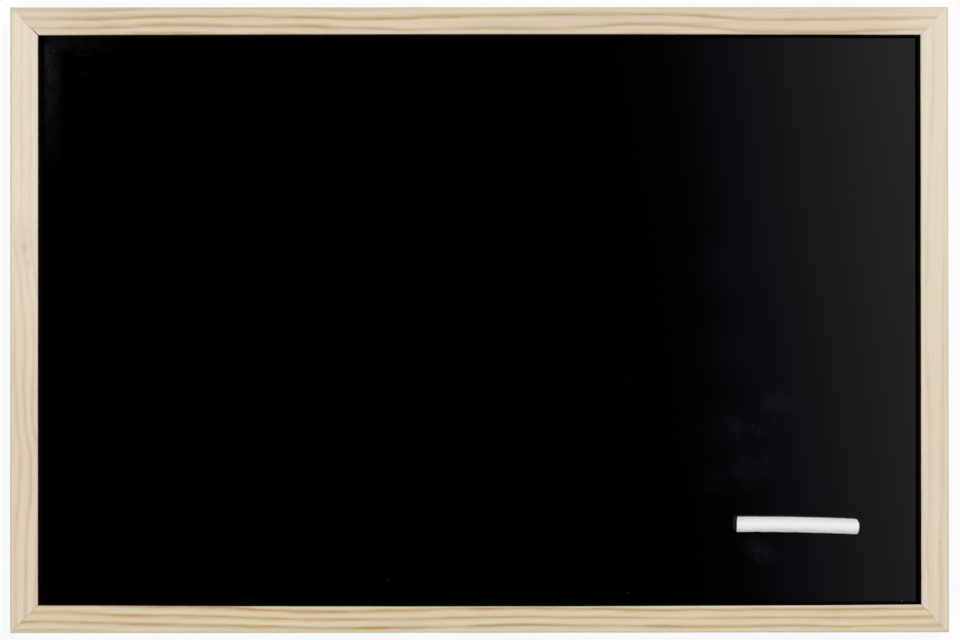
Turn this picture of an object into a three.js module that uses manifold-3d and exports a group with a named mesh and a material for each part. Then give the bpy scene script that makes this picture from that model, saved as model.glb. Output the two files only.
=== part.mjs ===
// A framed chalkboard lying on its back, face up, with a stick of chalk on its writing surface.
// Millimetres. X runs along the long side, Y up the face from the bottom rail to the top rail, and
// Z out of the face. The origin is under the middle of the board, on the surface that it lies on.
//
// Four mitred pine rails are nailed together at the corners. A lacquered hardboard panel lies in
// their rebate, against the lip, and steel points driven into the rebate hold it there. Two strap
// hangers with swinging rings and four rubber bumpers are fixed to the back of the frame.

import * as THREE from "three";
import { mergeVertices } from "three/addons/utils/BufferGeometryUtils.js";
import Module from "manifold-3d";

const wasm = await Module();
wasm.setup();

// Clearances
const SEAT_GAP = 0.1; // between faces that rest on each other
const POCKET_GAP = 0.2; // round a nail, point or screw in the hole that it is driven into
const MITRE_GAP = 0.1; // glue line between two rails
const PANEL_PLAY = 1; // between each edge of the panel and the rebate

// Frame
const BOARD_WIDTH = 600;
const BOARD_HEIGHT = 400;
const RAIL_FACE = 18; // width of the moulding, seen from the front
const LIP_DEPTH = 8; // from the front of the frame down to the panel
const REBATE_WIDTH = 6; // how far the lip reaches over the panel
const REBATE_DEPTH = 7; // from the lip down to the back of the frame
const OUTER_ROUND = 1.4; // radius along the outer front edge
const INNER_ROUND = 0.8; // radius along the edge of the lip
const BACK_CHAMFER = 0.5;

// Panel and the points that hold it in
const PANEL_THICKNESS = 3;
const POINT_LENGTH = 12;
const POINT_WIDTH = 6;
const POINT_THICKNESS = 0.5;
const POINT_BITE = 4; // how deep a point is driven into the rail
const POINT_TIP = 2.5; // length of its sharpened end
const POINTS_ALONG_WIDTH = 4;
const POINTS_UP_HEIGHT = 3;

// Chevron nails across the mitres
const MITRE_NAIL_LEG = 4.2;
const MITRE_NAIL_THICKNESS = 0.6;
const MITRE_NAIL_HEIGHT = 10;
const MITRE_NAIL_RECESS = 0.4; // how far it is set below the back of the frame
const MITRE_NAIL_HALF_ANGLE = THREE.MathUtils.degToRad(50);
const MITRE_NAIL_EDGE = 1.5; // wood left between a nail and the edges of the back

// Strap hangers and their rings
const HANGER_DROP = 90; // from the top of the board down to the ring's bar
const RING_WIRE = 1.6;
const RING_WIDTH = 11; // outside
const RING_SHOULDER = 2; // straight part of each side
const RING_CORNER = 1.2; // radius of the wire's centre line beside the bar
const RING_SEAM = 0.1; // between the two ends of the wire, in the middle of the bar
const RING_PLAY = 0.2; // between the wire and the curl
const RING_SIDE_PLAY = 0.4; // between the strap and each side of the ring
const RING_END_PLAY = 1.1; // between the screw's head and the end of a ring that is folded over
const STRAP_THICKNESS = 0.6;
const STRAP_TAIL = 5.5; // from the middle of the screw to the strap's rounded end
const CURL_END = THREE.MathUtils.degToRad(200); // where the strap's curl round the bar stops
const SCREW_DIAMETER = 2.7;
const SCREW_LENGTH = 10;
const SCREW_TIP = 3;
const SCREW_HEAD = 5.4;
const SCREW_CROWN = 3; // width of the flat on top of the head
const SCREW_RIM = 0.6; // height of the head's upright edge
const SCREW_HEAD_HEIGHT = 1.7;
const SCREW_SLOT_WIDTH = 0.9;
const SCREW_SLOT_LENGTH = 3.2;
const SCREW_SLOT_DEPTH = 1;

// Rubber bumpers
const BUMPER_DIAMETER = 10;
const BUMPER_SPARE = 0.2; // how much further the bumpers stand out than the hangers
const BUMPER_ROUND = 0.8;
const BUMPER_FROM_CORNER = 34;

// Chalk
const CHALK_LENGTH = 79;
const CHALK_DIAMETER = 9.8;
const CHALK_END_ROUND = 1.3;
const CHALK_BOW = 0.5; // how far its middle stands off a straight line
const CHALK_TURN = THREE.MathUtils.degToRad(-1.16);
const CHALK_FROM_RIGHT = 78; // from the right-hand lip to the middle of the stick
const CHALK_FROM_BOTTOM = 50.5;

// Fineness of the round parts
const ROUND_STEPS = 5;
const LATHE_SIDES = 24;
const WIRE_SIDES = 8;
const RING_STEPS = 44;
const CURL_STEPS = 20;
const CHALK_STEPS = 8;

// Levels and spans that follow from the sizes above
const CURL_BORE = RING_WIRE / 2 + RING_PLAY;
const CURL_RADIUS = CURL_BORE + STRAP_THICKNESS; // also how far the bar stands off the wood
const BUMPER_HEIGHT = SEAT_GAP + 2 * CURL_RADIUS + BUMPER_SPARE;
const RAIL_DEPTH = LIP_DEPTH + REBATE_DEPTH;
const BACK_Z = BUMPER_HEIGHT + SEAT_GAP;
const FRONT_Z = BACK_Z + RAIL_DEPTH;
const RAIL_BACK = RAIL_FACE - REBATE_WIDTH; // width of a rail's back face
const SIGHT_WIDTH = BOARD_WIDTH - 2 * RAIL_FACE;
const SIGHT_HEIGHT = BOARD_HEIGHT - 2 * RAIL_FACE;
const PANEL_FRONT_Z = FRONT_Z - LIP_DEPTH - SEAT_GAP;
const PANEL_BACK_Z = PANEL_FRONT_Z - PANEL_THICKNESS;
const POINT_Z = PANEL_BACK_Z - SEAT_GAP - POINT_THICKNESS;
const RING_REACH = (RING_WIDTH - RING_WIRE) / 2; // from the ring's middle to the wire's centre line
const RING_LENGTH = RING_CORNER + RING_SHOULDER + RING_REACH + RING_WIRE / 2; // from the bar's axis
const STRAP_WIDTH = RING_WIDTH - 2 * RING_WIRE - 2 * RING_SIDE_PLAY;
const SCREW_FROM_BAR = RING_LENGTH + RING_END_PLAY + SCREW_HEAD / 2;
const BAR_Y = BOARD_HEIGHT / 2 - HANGER_DROP;
const SCREW_Y = BAR_Y - SCREW_FROM_BAR;

const pine = new THREE.MeshStandardMaterial({ color: 0xdfcfb4, roughness: 0.6, metalness: 0 });
const lacquer = new THREE.MeshStandardMaterial({ color: 0x0a0a0b, roughness: 0.35, metalness: 0 });
const steel = new THREE.MeshStandardMaterial({ color: 0xb9bcc0, roughness: 0.35, metalness: 0.9 });
const rubber = new THREE.MeshStandardMaterial({ color: 0x3a3a3c, roughness: 0.8, metalness: 0 });
const chalk = new THREE.MeshStandardMaterial({ color: 0xeeeeec, roughness: 0.9, metalness: 0 });

// Booleans

function solidOf(geometry) {
  const bare = geometry.clone();
  bare.deleteAttribute("normal");
  bare.deleteAttribute("uv");
  const merged = mergeVertices(bare, 1e-4);
  return new wasm.Manifold(
    new wasm.Mesh({
      numProp: 3,
      vertProperties: new Float32Array(merged.getAttribute("position").array),
      triVerts: new Uint32Array(merged.index.array),
    }),
  );
}

function geometryOf(solid) {
  const mesh = solid.getMesh();
  const geometry = new THREE.BufferGeometry();
  geometry.setAttribute("position", new THREE.BufferAttribute(mesh.vertProperties, 3));
  geometry.setIndex(new THREE.BufferAttribute(mesh.triVerts, 1));
  geometry.computeVertexNormals();
  return geometry;
}

function cut(geometry, cutters) {
  const left = cutters.reduce((solid, cutter) => solid.subtract(solidOf(cutter)), solidOf(geometry));
  return geometryOf(left);
}

// A shape drawn in the YZ plane, as a solid that is centred on X = 0.
function extrudedAlongX(shape, length, curveSegments) {
  const geometry = new THREE.ExtrudeGeometry(shape, { depth: length, bevelEnabled: false, curveSegments });
  const yzx = new THREE.Matrix4().makeBasis(
    new THREE.Vector3(0, 1, 0),
    new THREE.Vector3(0, 0, 1),
    new THREE.Vector3(1, 0, 0),
  );
  return geometry.applyMatrix4(yzx).translate(-length / 2, 0, 0);
}

// Placing

function named(name, geometry, material) {
  const mesh = new THREE.Mesh(geometry, material);
  mesh.name = name;
  return mesh;
}

function groupAt(x, y, z, turn = 0) {
  const group = new THREE.Group();
  group.position.set(x, y, z);
  group.rotation.z = turn;
  return group;
}

// Evenly spaced places along a span, centred on 0.
function spread(count, span) {
  return Array.from({ length: count }, (_, i) => span * ((i + 0.5) / count - 0.5));
}

// Rails. A rail lies along its own X, with its outer edge on Y = 0, the board's middle towards +Y,
// and its back on Z = 0.

function railProfile() {
  const shape = new THREE.Shape();
  shape.moveTo(BACK_CHAMFER, 0);
  shape.lineTo(RAIL_BACK, 0);
  shape.lineTo(RAIL_BACK, REBATE_DEPTH);
  shape.lineTo(RAIL_FACE, REBATE_DEPTH);
  shape.lineTo(RAIL_FACE, RAIL_DEPTH - INNER_ROUND);
  shape.absarc(RAIL_FACE - INNER_ROUND, RAIL_DEPTH - INNER_ROUND, INNER_ROUND, 0, Math.PI / 2, false);
  shape.lineTo(OUTER_ROUND, RAIL_DEPTH);
  shape.absarc(OUTER_ROUND, RAIL_DEPTH - OUTER_ROUND, OUTER_ROUND, Math.PI / 2, Math.PI, false);
  shape.lineTo(0, BACK_CHAMFER);
  shape.closePath();
  return shape;
}

// The moulding is extruded and both ends are mitred: a point that lies a distance in from the outer
// edge moves the same distance towards the rail's middle.
function mitredMoulding(length) {
  const geometry = extrudedAlongX(railProfile(), length, ROUND_STEPS);
  const setBack = (MITRE_GAP / 2) * Math.SQRT2;
  const place = geometry.getAttribute("position");
  for (let i = 0; i < place.count; i += 1) {
    const end = Math.sign(place.getX(i));
    place.setX(i, end * (length / 2 - place.getY(i) - setBack));
  }
  return geometry;
}

// Panel points

function pointGeometry(gap = 0) {
  const half = POINT_WIDTH / 2 + gap;
  const shape = new THREE.Shape();
  shape.moveTo(-half, POINT_LENGTH - POINT_BITE);
  shape.lineTo(-half, POINT_TIP - POINT_BITE - gap);
  shape.lineTo(-gap, -POINT_BITE - gap);
  shape.lineTo(gap, -POINT_BITE - gap);
  shape.lineTo(half, POINT_TIP - POINT_BITE - gap);
  shape.lineTo(half, POINT_LENGTH - POINT_BITE);
  shape.closePath();
  const geometry = new THREE.ExtrudeGeometry(shape, {
    depth: POINT_THICKNESS + 2 * gap,
    bevelEnabled: false,
  });
  return geometry.translate(0, RAIL_BACK, POINT_Z - BACK_Z - gap);
}

// Mitre nails. A nail's own X runs along the mitre from the outer corner towards the middle.

function mitreNailGeometry(gap = 0) {
  const sin = Math.sin(MITRE_NAIL_HALF_ANGLE);
  const cos = Math.cos(MITRE_NAIL_HALF_ANGLE);
  const thickness = MITRE_NAIL_THICKNESS + 2 * gap;
  const tip = gap / sin;
  const leg = MITRE_NAIL_LEG + gap * (1 + cos / sin);
  const outside = [tip - leg * cos, leg * sin];
  const inside = [outside[0] - thickness * sin, outside[1] - thickness * cos];
  const shape = new THREE.Shape();
  shape.moveTo(tip, 0);
  shape.lineTo(outside[0], outside[1]);
  shape.lineTo(inside[0], inside[1]);
  shape.lineTo(tip - thickness / sin, 0);
  shape.lineTo(inside[0], -inside[1]);
  shape.lineTo(outside[0], -outside[1]);
  shape.closePath();
  const below = gap > 0 ? MITRE_NAIL_RECESS + gap : 0;
  const geometry = new THREE.ExtrudeGeometry(shape, {
    depth: MITRE_NAIL_HEIGHT + below + gap,
    bevelEnabled: false,
  });
  return geometry.translate(0, 0, MITRE_NAIL_RECESS - below);
}

// How far the tips of a corner's two nails lie from the outer corner. The wings of the outer nail
// and the tip of the inner one keep the same width of wood to the edges of the back.
function mitreNailDistances() {
  const wing = MITRE_NAIL_LEG * Math.sin(MITRE_NAIL_HALF_ANGLE);
  const depth = MITRE_NAIL_LEG * Math.cos(MITRE_NAIL_HALF_ANGLE);
  const edge = MITRE_NAIL_EDGE * Math.SQRT2;
  return { outer: wing + edge + depth, inner: RAIL_BACK * Math.SQRT2 - edge };
}

// The pockets that one corner's nails leave in a rail whose outer corner is at x, where inward is
// the direction of the mitre.
function mitreNailPockets(x, inward) {
  return Object.values(mitreNailDistances()).map((distance) => {
    const pocket = mitreNailGeometry(POCKET_GAP).translate(distance, 0, 0);
    return pocket.rotateZ(inward).translate(x, 0, 0);
  });
}

// Hanger. It is built lying on Z = 0 with +Z away from the wood, the ring's bar along X through
// Y = 0, and the strap towards -Y.

// The strip of steel seen from its side, curled round the bar, is cut to its outline from above.
function strapGeometry() {
  const length = SCREW_FROM_BAR + STRAP_TAIL;
  const side = new THREE.Shape();
  side.moveTo(-length, 0);
  side.lineTo(0, 0);
  side.absarc(0, CURL_RADIUS, CURL_RADIUS, -Math.PI / 2, CURL_END, false);
  side.absarc(0, CURL_RADIUS, CURL_BORE, CURL_END, -Math.PI / 2, true);
  side.lineTo(-length, STRAP_THICKNESS);
  side.closePath();
  const curled = extrudedAlongX(side, STRAP_WIDTH, CURL_STEPS);

  const half = STRAP_WIDTH / 2;
  const outline = new THREE.Shape();
  outline.moveTo(half, 2 * CURL_RADIUS);
  outline.lineTo(-half, 2 * CURL_RADIUS);
  outline.lineTo(-half, half - length);
  outline.absarc(0, half - length, half, Math.PI, 2 * Math.PI, false);
  outline.closePath();
  const hole = new THREE.Path();
  hole.absarc(0, -SCREW_FROM_BAR, SCREW_DIAMETER / 2 + POCKET_GAP, 0, 2 * Math.PI, true);
  outline.holes.push(hole);
  const blank = new THREE.ExtrudeGeometry(outline, {
    depth: 4 * CURL_RADIUS,
    bevelEnabled: false,
    curveSegments: LATHE_SIDES / 2,
  });
  blank.translate(0, 0, -CURL_RADIUS);
  return geometryOf(solidOf(curled).intersect(solidOf(blank)));
}

// The ring's wire starts and ends in the middle of the bar, where its two ends almost meet inside
// the curl. Between them it has two tight corners, two straight shoulders and a half circle.
function ringGeometry() {
  const bar = RING_REACH - RING_CORNER;
  const shoulder = RING_CORNER + RING_SHOULDER;
  const path = new THREE.Path();
  path.moveTo(RING_SEAM / 2, 0);
  path.lineTo(bar, 0);
  path.absarc(bar, RING_CORNER, RING_CORNER, -Math.PI / 2, 0, false);
  path.lineTo(RING_REACH, shoulder);
  path.absarc(0, shoulder, RING_REACH, 0, Math.PI, false);
  path.lineTo(-RING_REACH, RING_CORNER);
  path.absarc(-bar, RING_CORNER, RING_CORNER, Math.PI, (3 * Math.PI) / 2, false);
  path.lineTo(-RING_SEAM / 2, 0);
  const places = path.getSpacedPoints(RING_STEPS).map(({ x, y }) => new THREE.Vector3(x, y, 0));
  const section = new THREE.Shape();
  section.absarc(0, 0, RING_WIRE / 2, 0, 2 * Math.PI, false);
  return new THREE.ExtrudeGeometry(section, {
    steps: RING_STEPS,
    extrudePath: new THREE.CatmullRomCurve3(places),
    curveSegments: WIRE_SIDES / 2,
    bevelEnabled: false,
  });
}

function screwGeometry() {
  const radius = SCREW_DIAMETER / 2;
  const headRadius = SCREW_HEAD / 2;
  const crown = SCREW_CROWN / 2;
  const dome = new THREE.EllipseCurve(
    crown,
    SCREW_RIM,
    headRadius - crown,
    SCREW_HEAD_HEIGHT - SCREW_RIM,
    0,
    Math.PI / 2,
  );
  const outline = [
    new THREE.Vector2(0, -SCREW_LENGTH),
    new THREE.Vector2(radius, SCREW_TIP - SCREW_LENGTH),
    new THREE.Vector2(radius, 0),
    new THREE.Vector2(headRadius, 0),
    ...dome.getPoints(ROUND_STEPS),
    new THREE.Vector2(0, SCREW_HEAD_HEIGHT),
  ];
  const turned = new THREE.LatheGeometry(outline, LATHE_SIDES).rotateX(Math.PI / 2);
  const slots = [0, Math.PI / 2].map((turn) =>
    new THREE.BoxGeometry(SCREW_SLOT_LENGTH, SCREW_SLOT_WIDTH, 2 * SCREW_SLOT_DEPTH)
      .rotateZ(turn)
      .translate(0, 0, SCREW_HEAD_HEIGHT),
  );
  return cut(turned, slots);
}

function screwHole() {
  const depth = SCREW_LENGTH - STRAP_THICKNESS + POCKET_GAP;
  const radius = SCREW_DIAMETER / 2 + POCKET_GAP;
  const bore = new THREE.CylinderGeometry(radius, radius, 2 * depth, LATHE_SIDES);
  return bore.rotateX(Math.PI / 2);
}

function hanger(side) {
  const group = new THREE.Group();
  const ring = named(`${side}_hanger_ring`, ringGeometry(), steel);
  ring.position.z = CURL_RADIUS;
  const screw = named(`${side}_hanger_screw`, screwGeometry(), steel);
  screw.position.set(0, -SCREW_FROM_BAR, STRAP_THICKNESS + SEAT_GAP);
  group.add(named(`${side}_hanger_strap`, strapGeometry(), steel), ring, screw);
  return group;
}

function bumperGeometry() {
  const radius = BUMPER_DIAMETER / 2;
  const edge = new THREE.Path();
  edge.absarc(radius - BUMPER_ROUND, BUMPER_ROUND, BUMPER_ROUND, -Math.PI / 2, 0, false);
  const outline = [
    new THREE.Vector2(0, 0),
    ...edge.getPoints(ROUND_STEPS),
    new THREE.Vector2(radius, BUMPER_HEIGHT),
    new THREE.Vector2(0, BUMPER_HEIGHT),
  ];
  return new THREE.LatheGeometry(outline, LATHE_SIDES).rotateX(Math.PI / 2);
}

// One side of the frame: the rail with its pockets, and the points driven into it.
function frameSide({ name, length, x, y, turn, points, sightLength, screwX }) {
  const group = groupAt(x, y, BACK_Z, turn);
  const places = spread(points, sightLength);
  const cutters = [
    ...mitreNailPockets(-length / 2, Math.PI / 4),
    ...mitreNailPockets(length / 2, (3 * Math.PI) / 4),
    ...places.map((along) => pointGeometry(POCKET_GAP).translate(along, 0, 0)),
  ];
  if (screwX !== undefined) {
    cutters.push(screwHole().translate(screwX, RAIL_BACK / 2, 0));
  }
  group.add(named(`${name}_rail`, cut(mitredMoulding(length), cutters), pine));
  places.forEach((along, i) => {
    const point = named(`panel_point_${name}_${i + 1}`, pointGeometry(), steel);
    point.position.x = along;
    group.add(point);
  });
  return group;
}

function cornerNails({ name, x, y, inward }) {
  const group = groupAt(x, y, BACK_Z, inward);
  Object.entries(mitreNailDistances()).forEach(([place, distance]) => {
    const nail = named(`mitre_nail_${name}_${place}`, mitreNailGeometry(), steel);
    nail.position.x = distance;
    group.add(nail);
  });
  return group;
}

function writingPanel() {
  const margin = 2 * (REBATE_WIDTH - PANEL_PLAY);
  const sheet = new THREE.BoxGeometry(SIGHT_WIDTH + margin, SIGHT_HEIGHT + margin, PANEL_THICKNESS);
  const mesh = named("writing_panel", sheet, lacquer);
  mesh.position.z = PANEL_BACK_Z + PANEL_THICKNESS / 2;
  return mesh;
}

// The stick lies along X. Its middle is bowed towards +Y by a parabola, and the lowest of its sides
// is flat on the panel.
function chalkGeometry() {
  const radius = CHALK_DIAMETER / 2;
  const half = CHALK_LENGTH / 2;
  const edge = new THREE.Path();
  edge.absarc(radius - CHALK_END_ROUND, half - CHALK_END_ROUND, CHALK_END_ROUND, 0, Math.PI / 2, false);
  const end = edge.getPoints(ROUND_STEPS);
  const side = spread(CHALK_STEPS, CHALK_LENGTH - 2 * CHALK_END_ROUND);
  const outline = [
    new THREE.Vector2(0, -half),
    ...end.map((point) => new THREE.Vector2(point.x, -point.y)).reverse(),
    ...side.map((along) => new THREE.Vector2(radius, along)),
    ...end,
    new THREE.Vector2(0, half),
  ];
  const stick = new THREE.LatheGeometry(outline, LATHE_SIDES);
  stick.rotateY(Math.PI / LATHE_SIDES).rotateZ(-Math.PI / 2);
  const place = stick.getAttribute("position");
  for (let i = 0; i < place.count; i += 1) {
    const share = place.getX(i) / half;
    place.setY(i, place.getY(i) + CHALK_BOW * (1 - share * share));
  }
  return stick;
}

function chalkStick() {
  const mesh = named("chalk_stick", chalkGeometry(), chalk);
  const lowest = (CHALK_DIAMETER / 2) * Math.cos(Math.PI / LATHE_SIDES);
  mesh.position.set(
    SIGHT_WIDTH / 2 - CHALK_FROM_RIGHT,
    CHALK_FROM_BOTTOM - SIGHT_HEIGHT / 2,
    PANEL_FRONT_Z + SEAT_GAP + lowest,
  );
  mesh.rotation.z = CHALK_TURN;
  return mesh;
}

const halfWidth = BOARD_WIDTH / 2;
const halfHeight = BOARD_HEIGHT / 2;
const long = { length: BOARD_WIDTH, points: POINTS_ALONG_WIDTH, sightLength: SIGHT_WIDTH };
const short = { length: BOARD_HEIGHT, points: POINTS_UP_HEIGHT, sightLength: SIGHT_HEIGHT };
const sides = [
  { name: "bottom", x: 0, y: -halfHeight, turn: 0, ...long },
  { name: "right", x: halfWidth, y: 0, turn: Math.PI / 2, screwX: SCREW_Y, ...short },
  { name: "top", x: 0, y: halfHeight, turn: Math.PI, ...long },
  { name: "left", x: -halfWidth, y: 0, turn: -Math.PI / 2, screwX: -SCREW_Y, ...short },
];
const corners = [
  { name: "bottom_left", x: -halfWidth, y: -halfHeight, inward: Math.PI / 4 },
  { name: "bottom_right", x: halfWidth, y: -halfHeight, inward: (3 * Math.PI) / 4 },
  { name: "top_right", x: halfWidth, y: halfHeight, inward: (5 * Math.PI) / 4 },
  { name: "top_left", x: -halfWidth, y: halfHeight, inward: (7 * Math.PI) / 4 },
];

const chalkboard = new THREE.Group();
sides.forEach((side) => chalkboard.add(frameSide(side)));
corners.forEach((corner) => chalkboard.add(cornerNails(corner)));
chalkboard.add(writingPanel(), chalkStick());

for (const [side, sign] of [["left", -1], ["right", 1]]) {
  const fitted = hanger(side);
  fitted.position.set(sign * (halfWidth - RAIL_BACK / 2), BAR_Y, BACK_Z - SEAT_GAP);
  fitted.rotation.y = Math.PI;
  chalkboard.add(fitted);
}

for (const { name, x, y } of corners) {
  const bumper = named(`bumper_${name}`, bumperGeometry(), rubber);
  const inset = RAIL_BACK / 2;
  bumper.position.set(x - Math.sign(x) * BUMPER_FROM_CORNER, y - Math.sign(y) * inset, 0);
  chalkboard.add(bumper);
}

export default chalkboard;
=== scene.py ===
# %% [markdown]
# # A framed chalkboard, lying face up
#
# The real object is a sheet of black lacquered hardboard in a frame of four mitred pine rails. A stick of
# chalk lies on the sheet. On the back there are two steel hangers with swinging rings, four rubber bumpers,
# the nails that hold the mitres together and the points that hold the sheet in.
#
# The measured solids come first. They give every size and place in metres, so each visible piece below is
# worked out from its solid's box and nothing has to be fitted by eye.

# %% Load the measured solids
import math

import bmesh
import bpy
import numpy as np
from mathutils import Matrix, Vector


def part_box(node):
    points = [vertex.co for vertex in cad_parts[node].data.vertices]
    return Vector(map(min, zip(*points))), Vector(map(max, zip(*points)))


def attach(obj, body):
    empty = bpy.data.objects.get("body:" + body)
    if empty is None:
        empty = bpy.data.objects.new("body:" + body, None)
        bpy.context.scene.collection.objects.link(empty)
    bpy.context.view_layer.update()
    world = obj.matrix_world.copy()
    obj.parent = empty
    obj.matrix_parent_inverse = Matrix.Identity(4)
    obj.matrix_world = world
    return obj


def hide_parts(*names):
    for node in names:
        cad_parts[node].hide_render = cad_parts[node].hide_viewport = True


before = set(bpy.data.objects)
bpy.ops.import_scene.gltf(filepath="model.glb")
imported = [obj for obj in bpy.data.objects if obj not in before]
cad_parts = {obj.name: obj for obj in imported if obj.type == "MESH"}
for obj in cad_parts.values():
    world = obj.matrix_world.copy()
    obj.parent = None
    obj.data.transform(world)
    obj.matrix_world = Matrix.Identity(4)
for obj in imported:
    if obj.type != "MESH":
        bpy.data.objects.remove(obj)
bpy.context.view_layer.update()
MM = 0.001
BOARD = "board"

# %% [markdown]
# ## Sizes
#
# The frame's outline and levels are read from the solids. Only what a box can't tell, such as the width of
# the rail's face or the radius of an edge, is written here, in millimetres.

# %% Sizes read from the solids
def box_mm(name):
    """The lowest and highest corners of a solid, in millimetres."""
    return [np.array(corner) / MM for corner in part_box(name)]


left_low, left_high = box_mm("left_rail")
panel_low, panel_high = box_mm("writing_panel")
HALF_WIDTH = box_mm("right_rail")[1][0]
HALF_HEIGHT = box_mm("top_rail")[1][1]
BACK_Z, FRONT_Z = left_low[2], left_high[2]
FACE = left_high[0] - left_low[0]
# How wide the rail is behind the rebate, how deep the rebate is, and how round the face's long edges are
BACK, REBATE = 12.0, 7.0
OUTER_ROUND, INNER_ROUND = 1.4, 0.8
print(f"board {2 * HALF_WIDTH:.1f} x {2 * HALF_HEIGHT:.1f}, rail face {FACE:.1f}, front at {FRONT_Z:.1f} mm")

# %% [markdown]
# ## The camera
#
# The photograph looks straight down on the board, and the inside walls of the frame show a little on all four
# sides, which puts the camera about 1.2 m above it. The board's outline in the picture isn't quite a
# rectangle: its right side leans outwards by a pixel and a half and its bottom side climbs by one. The
# camera's place, its three small turns and its lens are the ones that put the board's eight edges closest to
# where they are in the picture, within a third of a pixel.

# %% Camera
CAMERA_HEIGHT = 1200.0
camera_data = bpy.data.cameras.new("overhead_camera")
camera_data.sensor_width = 36.0
camera_data.lens = 70.456
camera_data.clip_end = 50.0
camera = bpy.data.objects.new("overhead_camera", camera_data)
bpy.context.scene.collection.objects.link(camera)
camera.location = (-1.93 * MM, -5.31 * MM, (FRONT_Z + CAMERA_HEIGHT) * MM)
camera.rotation_euler = (math.radians(0.247), math.radians(-0.104), math.radians(-0.041))
bpy.context.scene.camera = camera
print(f"camera at {tuple(round(place, 4) for place in camera.location)} m, lens {camera_data.lens:.1f} mm")

# %% [markdown]
# ## Building surfaces from arrays
#
# Nearly every piece here is one of two things: a closed outline carried along a path, or an outline turned
# round an axis. Both are a grid of points, one row for each place along the path. The rows are worked out as
# whole numpy arrays, and the same function joins any such grid into a closed mesh.

# %% Grids of points into closed meshes
def grid_faces(rows, columns, ring=False):
    """Four-sided faces of a grid. Each joins a point to the next in its row and to the two below them; the
    columns close on themselves, and with ring the last row joins the first."""
    row = np.arange(rows if ring else rows - 1)[:, None]
    column = np.arange(columns)[None, :]
    below, beside = (row + 1) % rows, (column + 1) % columns
    corners = [
        row * columns + column, row * columns + beside, below * columns + beside, below * columns + column,
    ]
    return np.stack(corners, axis=-1).reshape(-1, 4)


def make_mesh(name, grids, ring=False):
    """One mesh from several grids of points in millimetres. Open grids get a flat face at each end. A shell
    whose enclosed volume comes out negative is inside out, so its faces are turned over."""
    mesh = bpy.data.meshes.new(name)
    points, faces, start = [], [], 0
    for grid in grids:
        rows, columns = grid.shape[:2]
        points.append(grid.reshape(-1, 3))
        faces += (grid_faces(rows, columns, ring) + start).tolist()
        if not ring:
            end = start + (rows - 1) * columns
            faces += [list(range(start + columns - 1, start - 1, -1)), list(range(end, end + columns))]
        start += rows * columns
    mesh.from_pydata((np.concatenate(points) * MM).tolist(), [], faces)
    shell = bmesh.new()
    shell.from_mesh(mesh)
    if shell.calc_volume(signed=True) < 0:
        bmesh.ops.reverse_faces(shell, faces=shell.faces)
    shell.to_mesh(mesh)
    shell.free()
    mesh.validate()
    return mesh


def make_piece(name, mesh, finish, body, stands_for, sharp=35.0):
    """Puts a mesh in the scene as a visible piece: smooth except at edges over the sharp angle, riding on a
    body and standing for one of the measured solids."""
    mesh.materials.append(finish)
    mesh.polygons.foreach_set("use_smooth", np.ones(len(mesh.polygons), dtype=bool))
    mesh.set_sharp_from_angle(angle=math.radians(sharp))
    piece = bpy.data.objects.new(name, mesh)
    bpy.context.scene.collection.objects.link(piece)
    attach(piece, body)
    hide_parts(*stands_for)
    print(f"{name}: {len(mesh.polygons)} faces")


# %% Outlines and paths
def rounded(corners, radii, steps=6):
    """A closed outline with its corners rounded. Each corner becomes an arc that touches both of its sides:
    the arc's centre lies on the corner's bisector, and its points turn evenly from one side to the other."""
    corners = np.array(corners, float)
    radii = np.array(radii, float)[:, None]
    back = np.roll(corners, 1, axis=0) - corners
    ahead = np.roll(corners, -1, axis=0) - corners
    back /= np.linalg.norm(back, axis=1, keepdims=True)
    ahead /= np.linalg.norm(ahead, axis=1, keepdims=True)
    half = np.arccos(np.clip((back * ahead).sum(1, keepdims=True), -1, 1)) / 2
    bisector = (back + ahead) / np.linalg.norm(back + ahead, axis=1, keepdims=True)
    centre = corners + bisector * radii / np.sin(half)
    first = corners + back * radii / np.tan(half) - centre
    last = corners + ahead * radii / np.tan(half) - centre
    turn = (np.pi - 2 * half)[:, :, None]
    share = np.linspace(0, 1, steps + 1)[None, :, None]
    arcs = np.sin((1 - share) * turn) * first[:, None] + np.sin(share * turn) * last[:, None]
    return (centre[:, None] + arcs / np.sin(turn)).reshape(-1, 2)


def refined(outline, step):
    """The same closed outline with more points, so that none is further than a step from the next."""
    closed = np.vstack([outline, outline[:1]])
    length = np.concatenate([[0], np.cumsum(np.linalg.norm(np.diff(closed, axis=0), axis=1))])
    places = np.union1d(length, np.arange(0, length[-1], step))
    places = places[np.concatenate([[True], np.diff(places) > 1e-4])]
    return np.stack([np.interp(places, length, closed[:, i]) for i in (0, 1)], axis=1)[:-1]


def carried(path, sections, upright):
    """An outline carried along a path. Every section's first number is measured square to the path and to
    the upright direction, and its second along upright."""
    path = np.array(path, float)
    ahead = np.gradient(path, axis=0)
    ahead /= np.linalg.norm(ahead, axis=1, keepdims=True)
    upright = np.broadcast_to(np.array(upright, float), path.shape)
    sideways = np.cross(ahead, upright)
    return (
        path[:, None]
        + sections[..., :1] * sideways[:, None]
        + sections[..., 1:] * upright[:, None]
    )


def turned(radius, height, sides):
    """An outline turned round the Z axis: each point keeps its height and goes round at its radius."""
    angle = np.linspace(0, 2 * np.pi, sides, endpoint=False)[None, :]
    radius, height = np.array(radius)[:, None], np.array(height)[:, None]
    return np.stack([radius * np.cos(angle), radius * np.sin(angle), height + 0 * angle], axis=-1)


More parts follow.
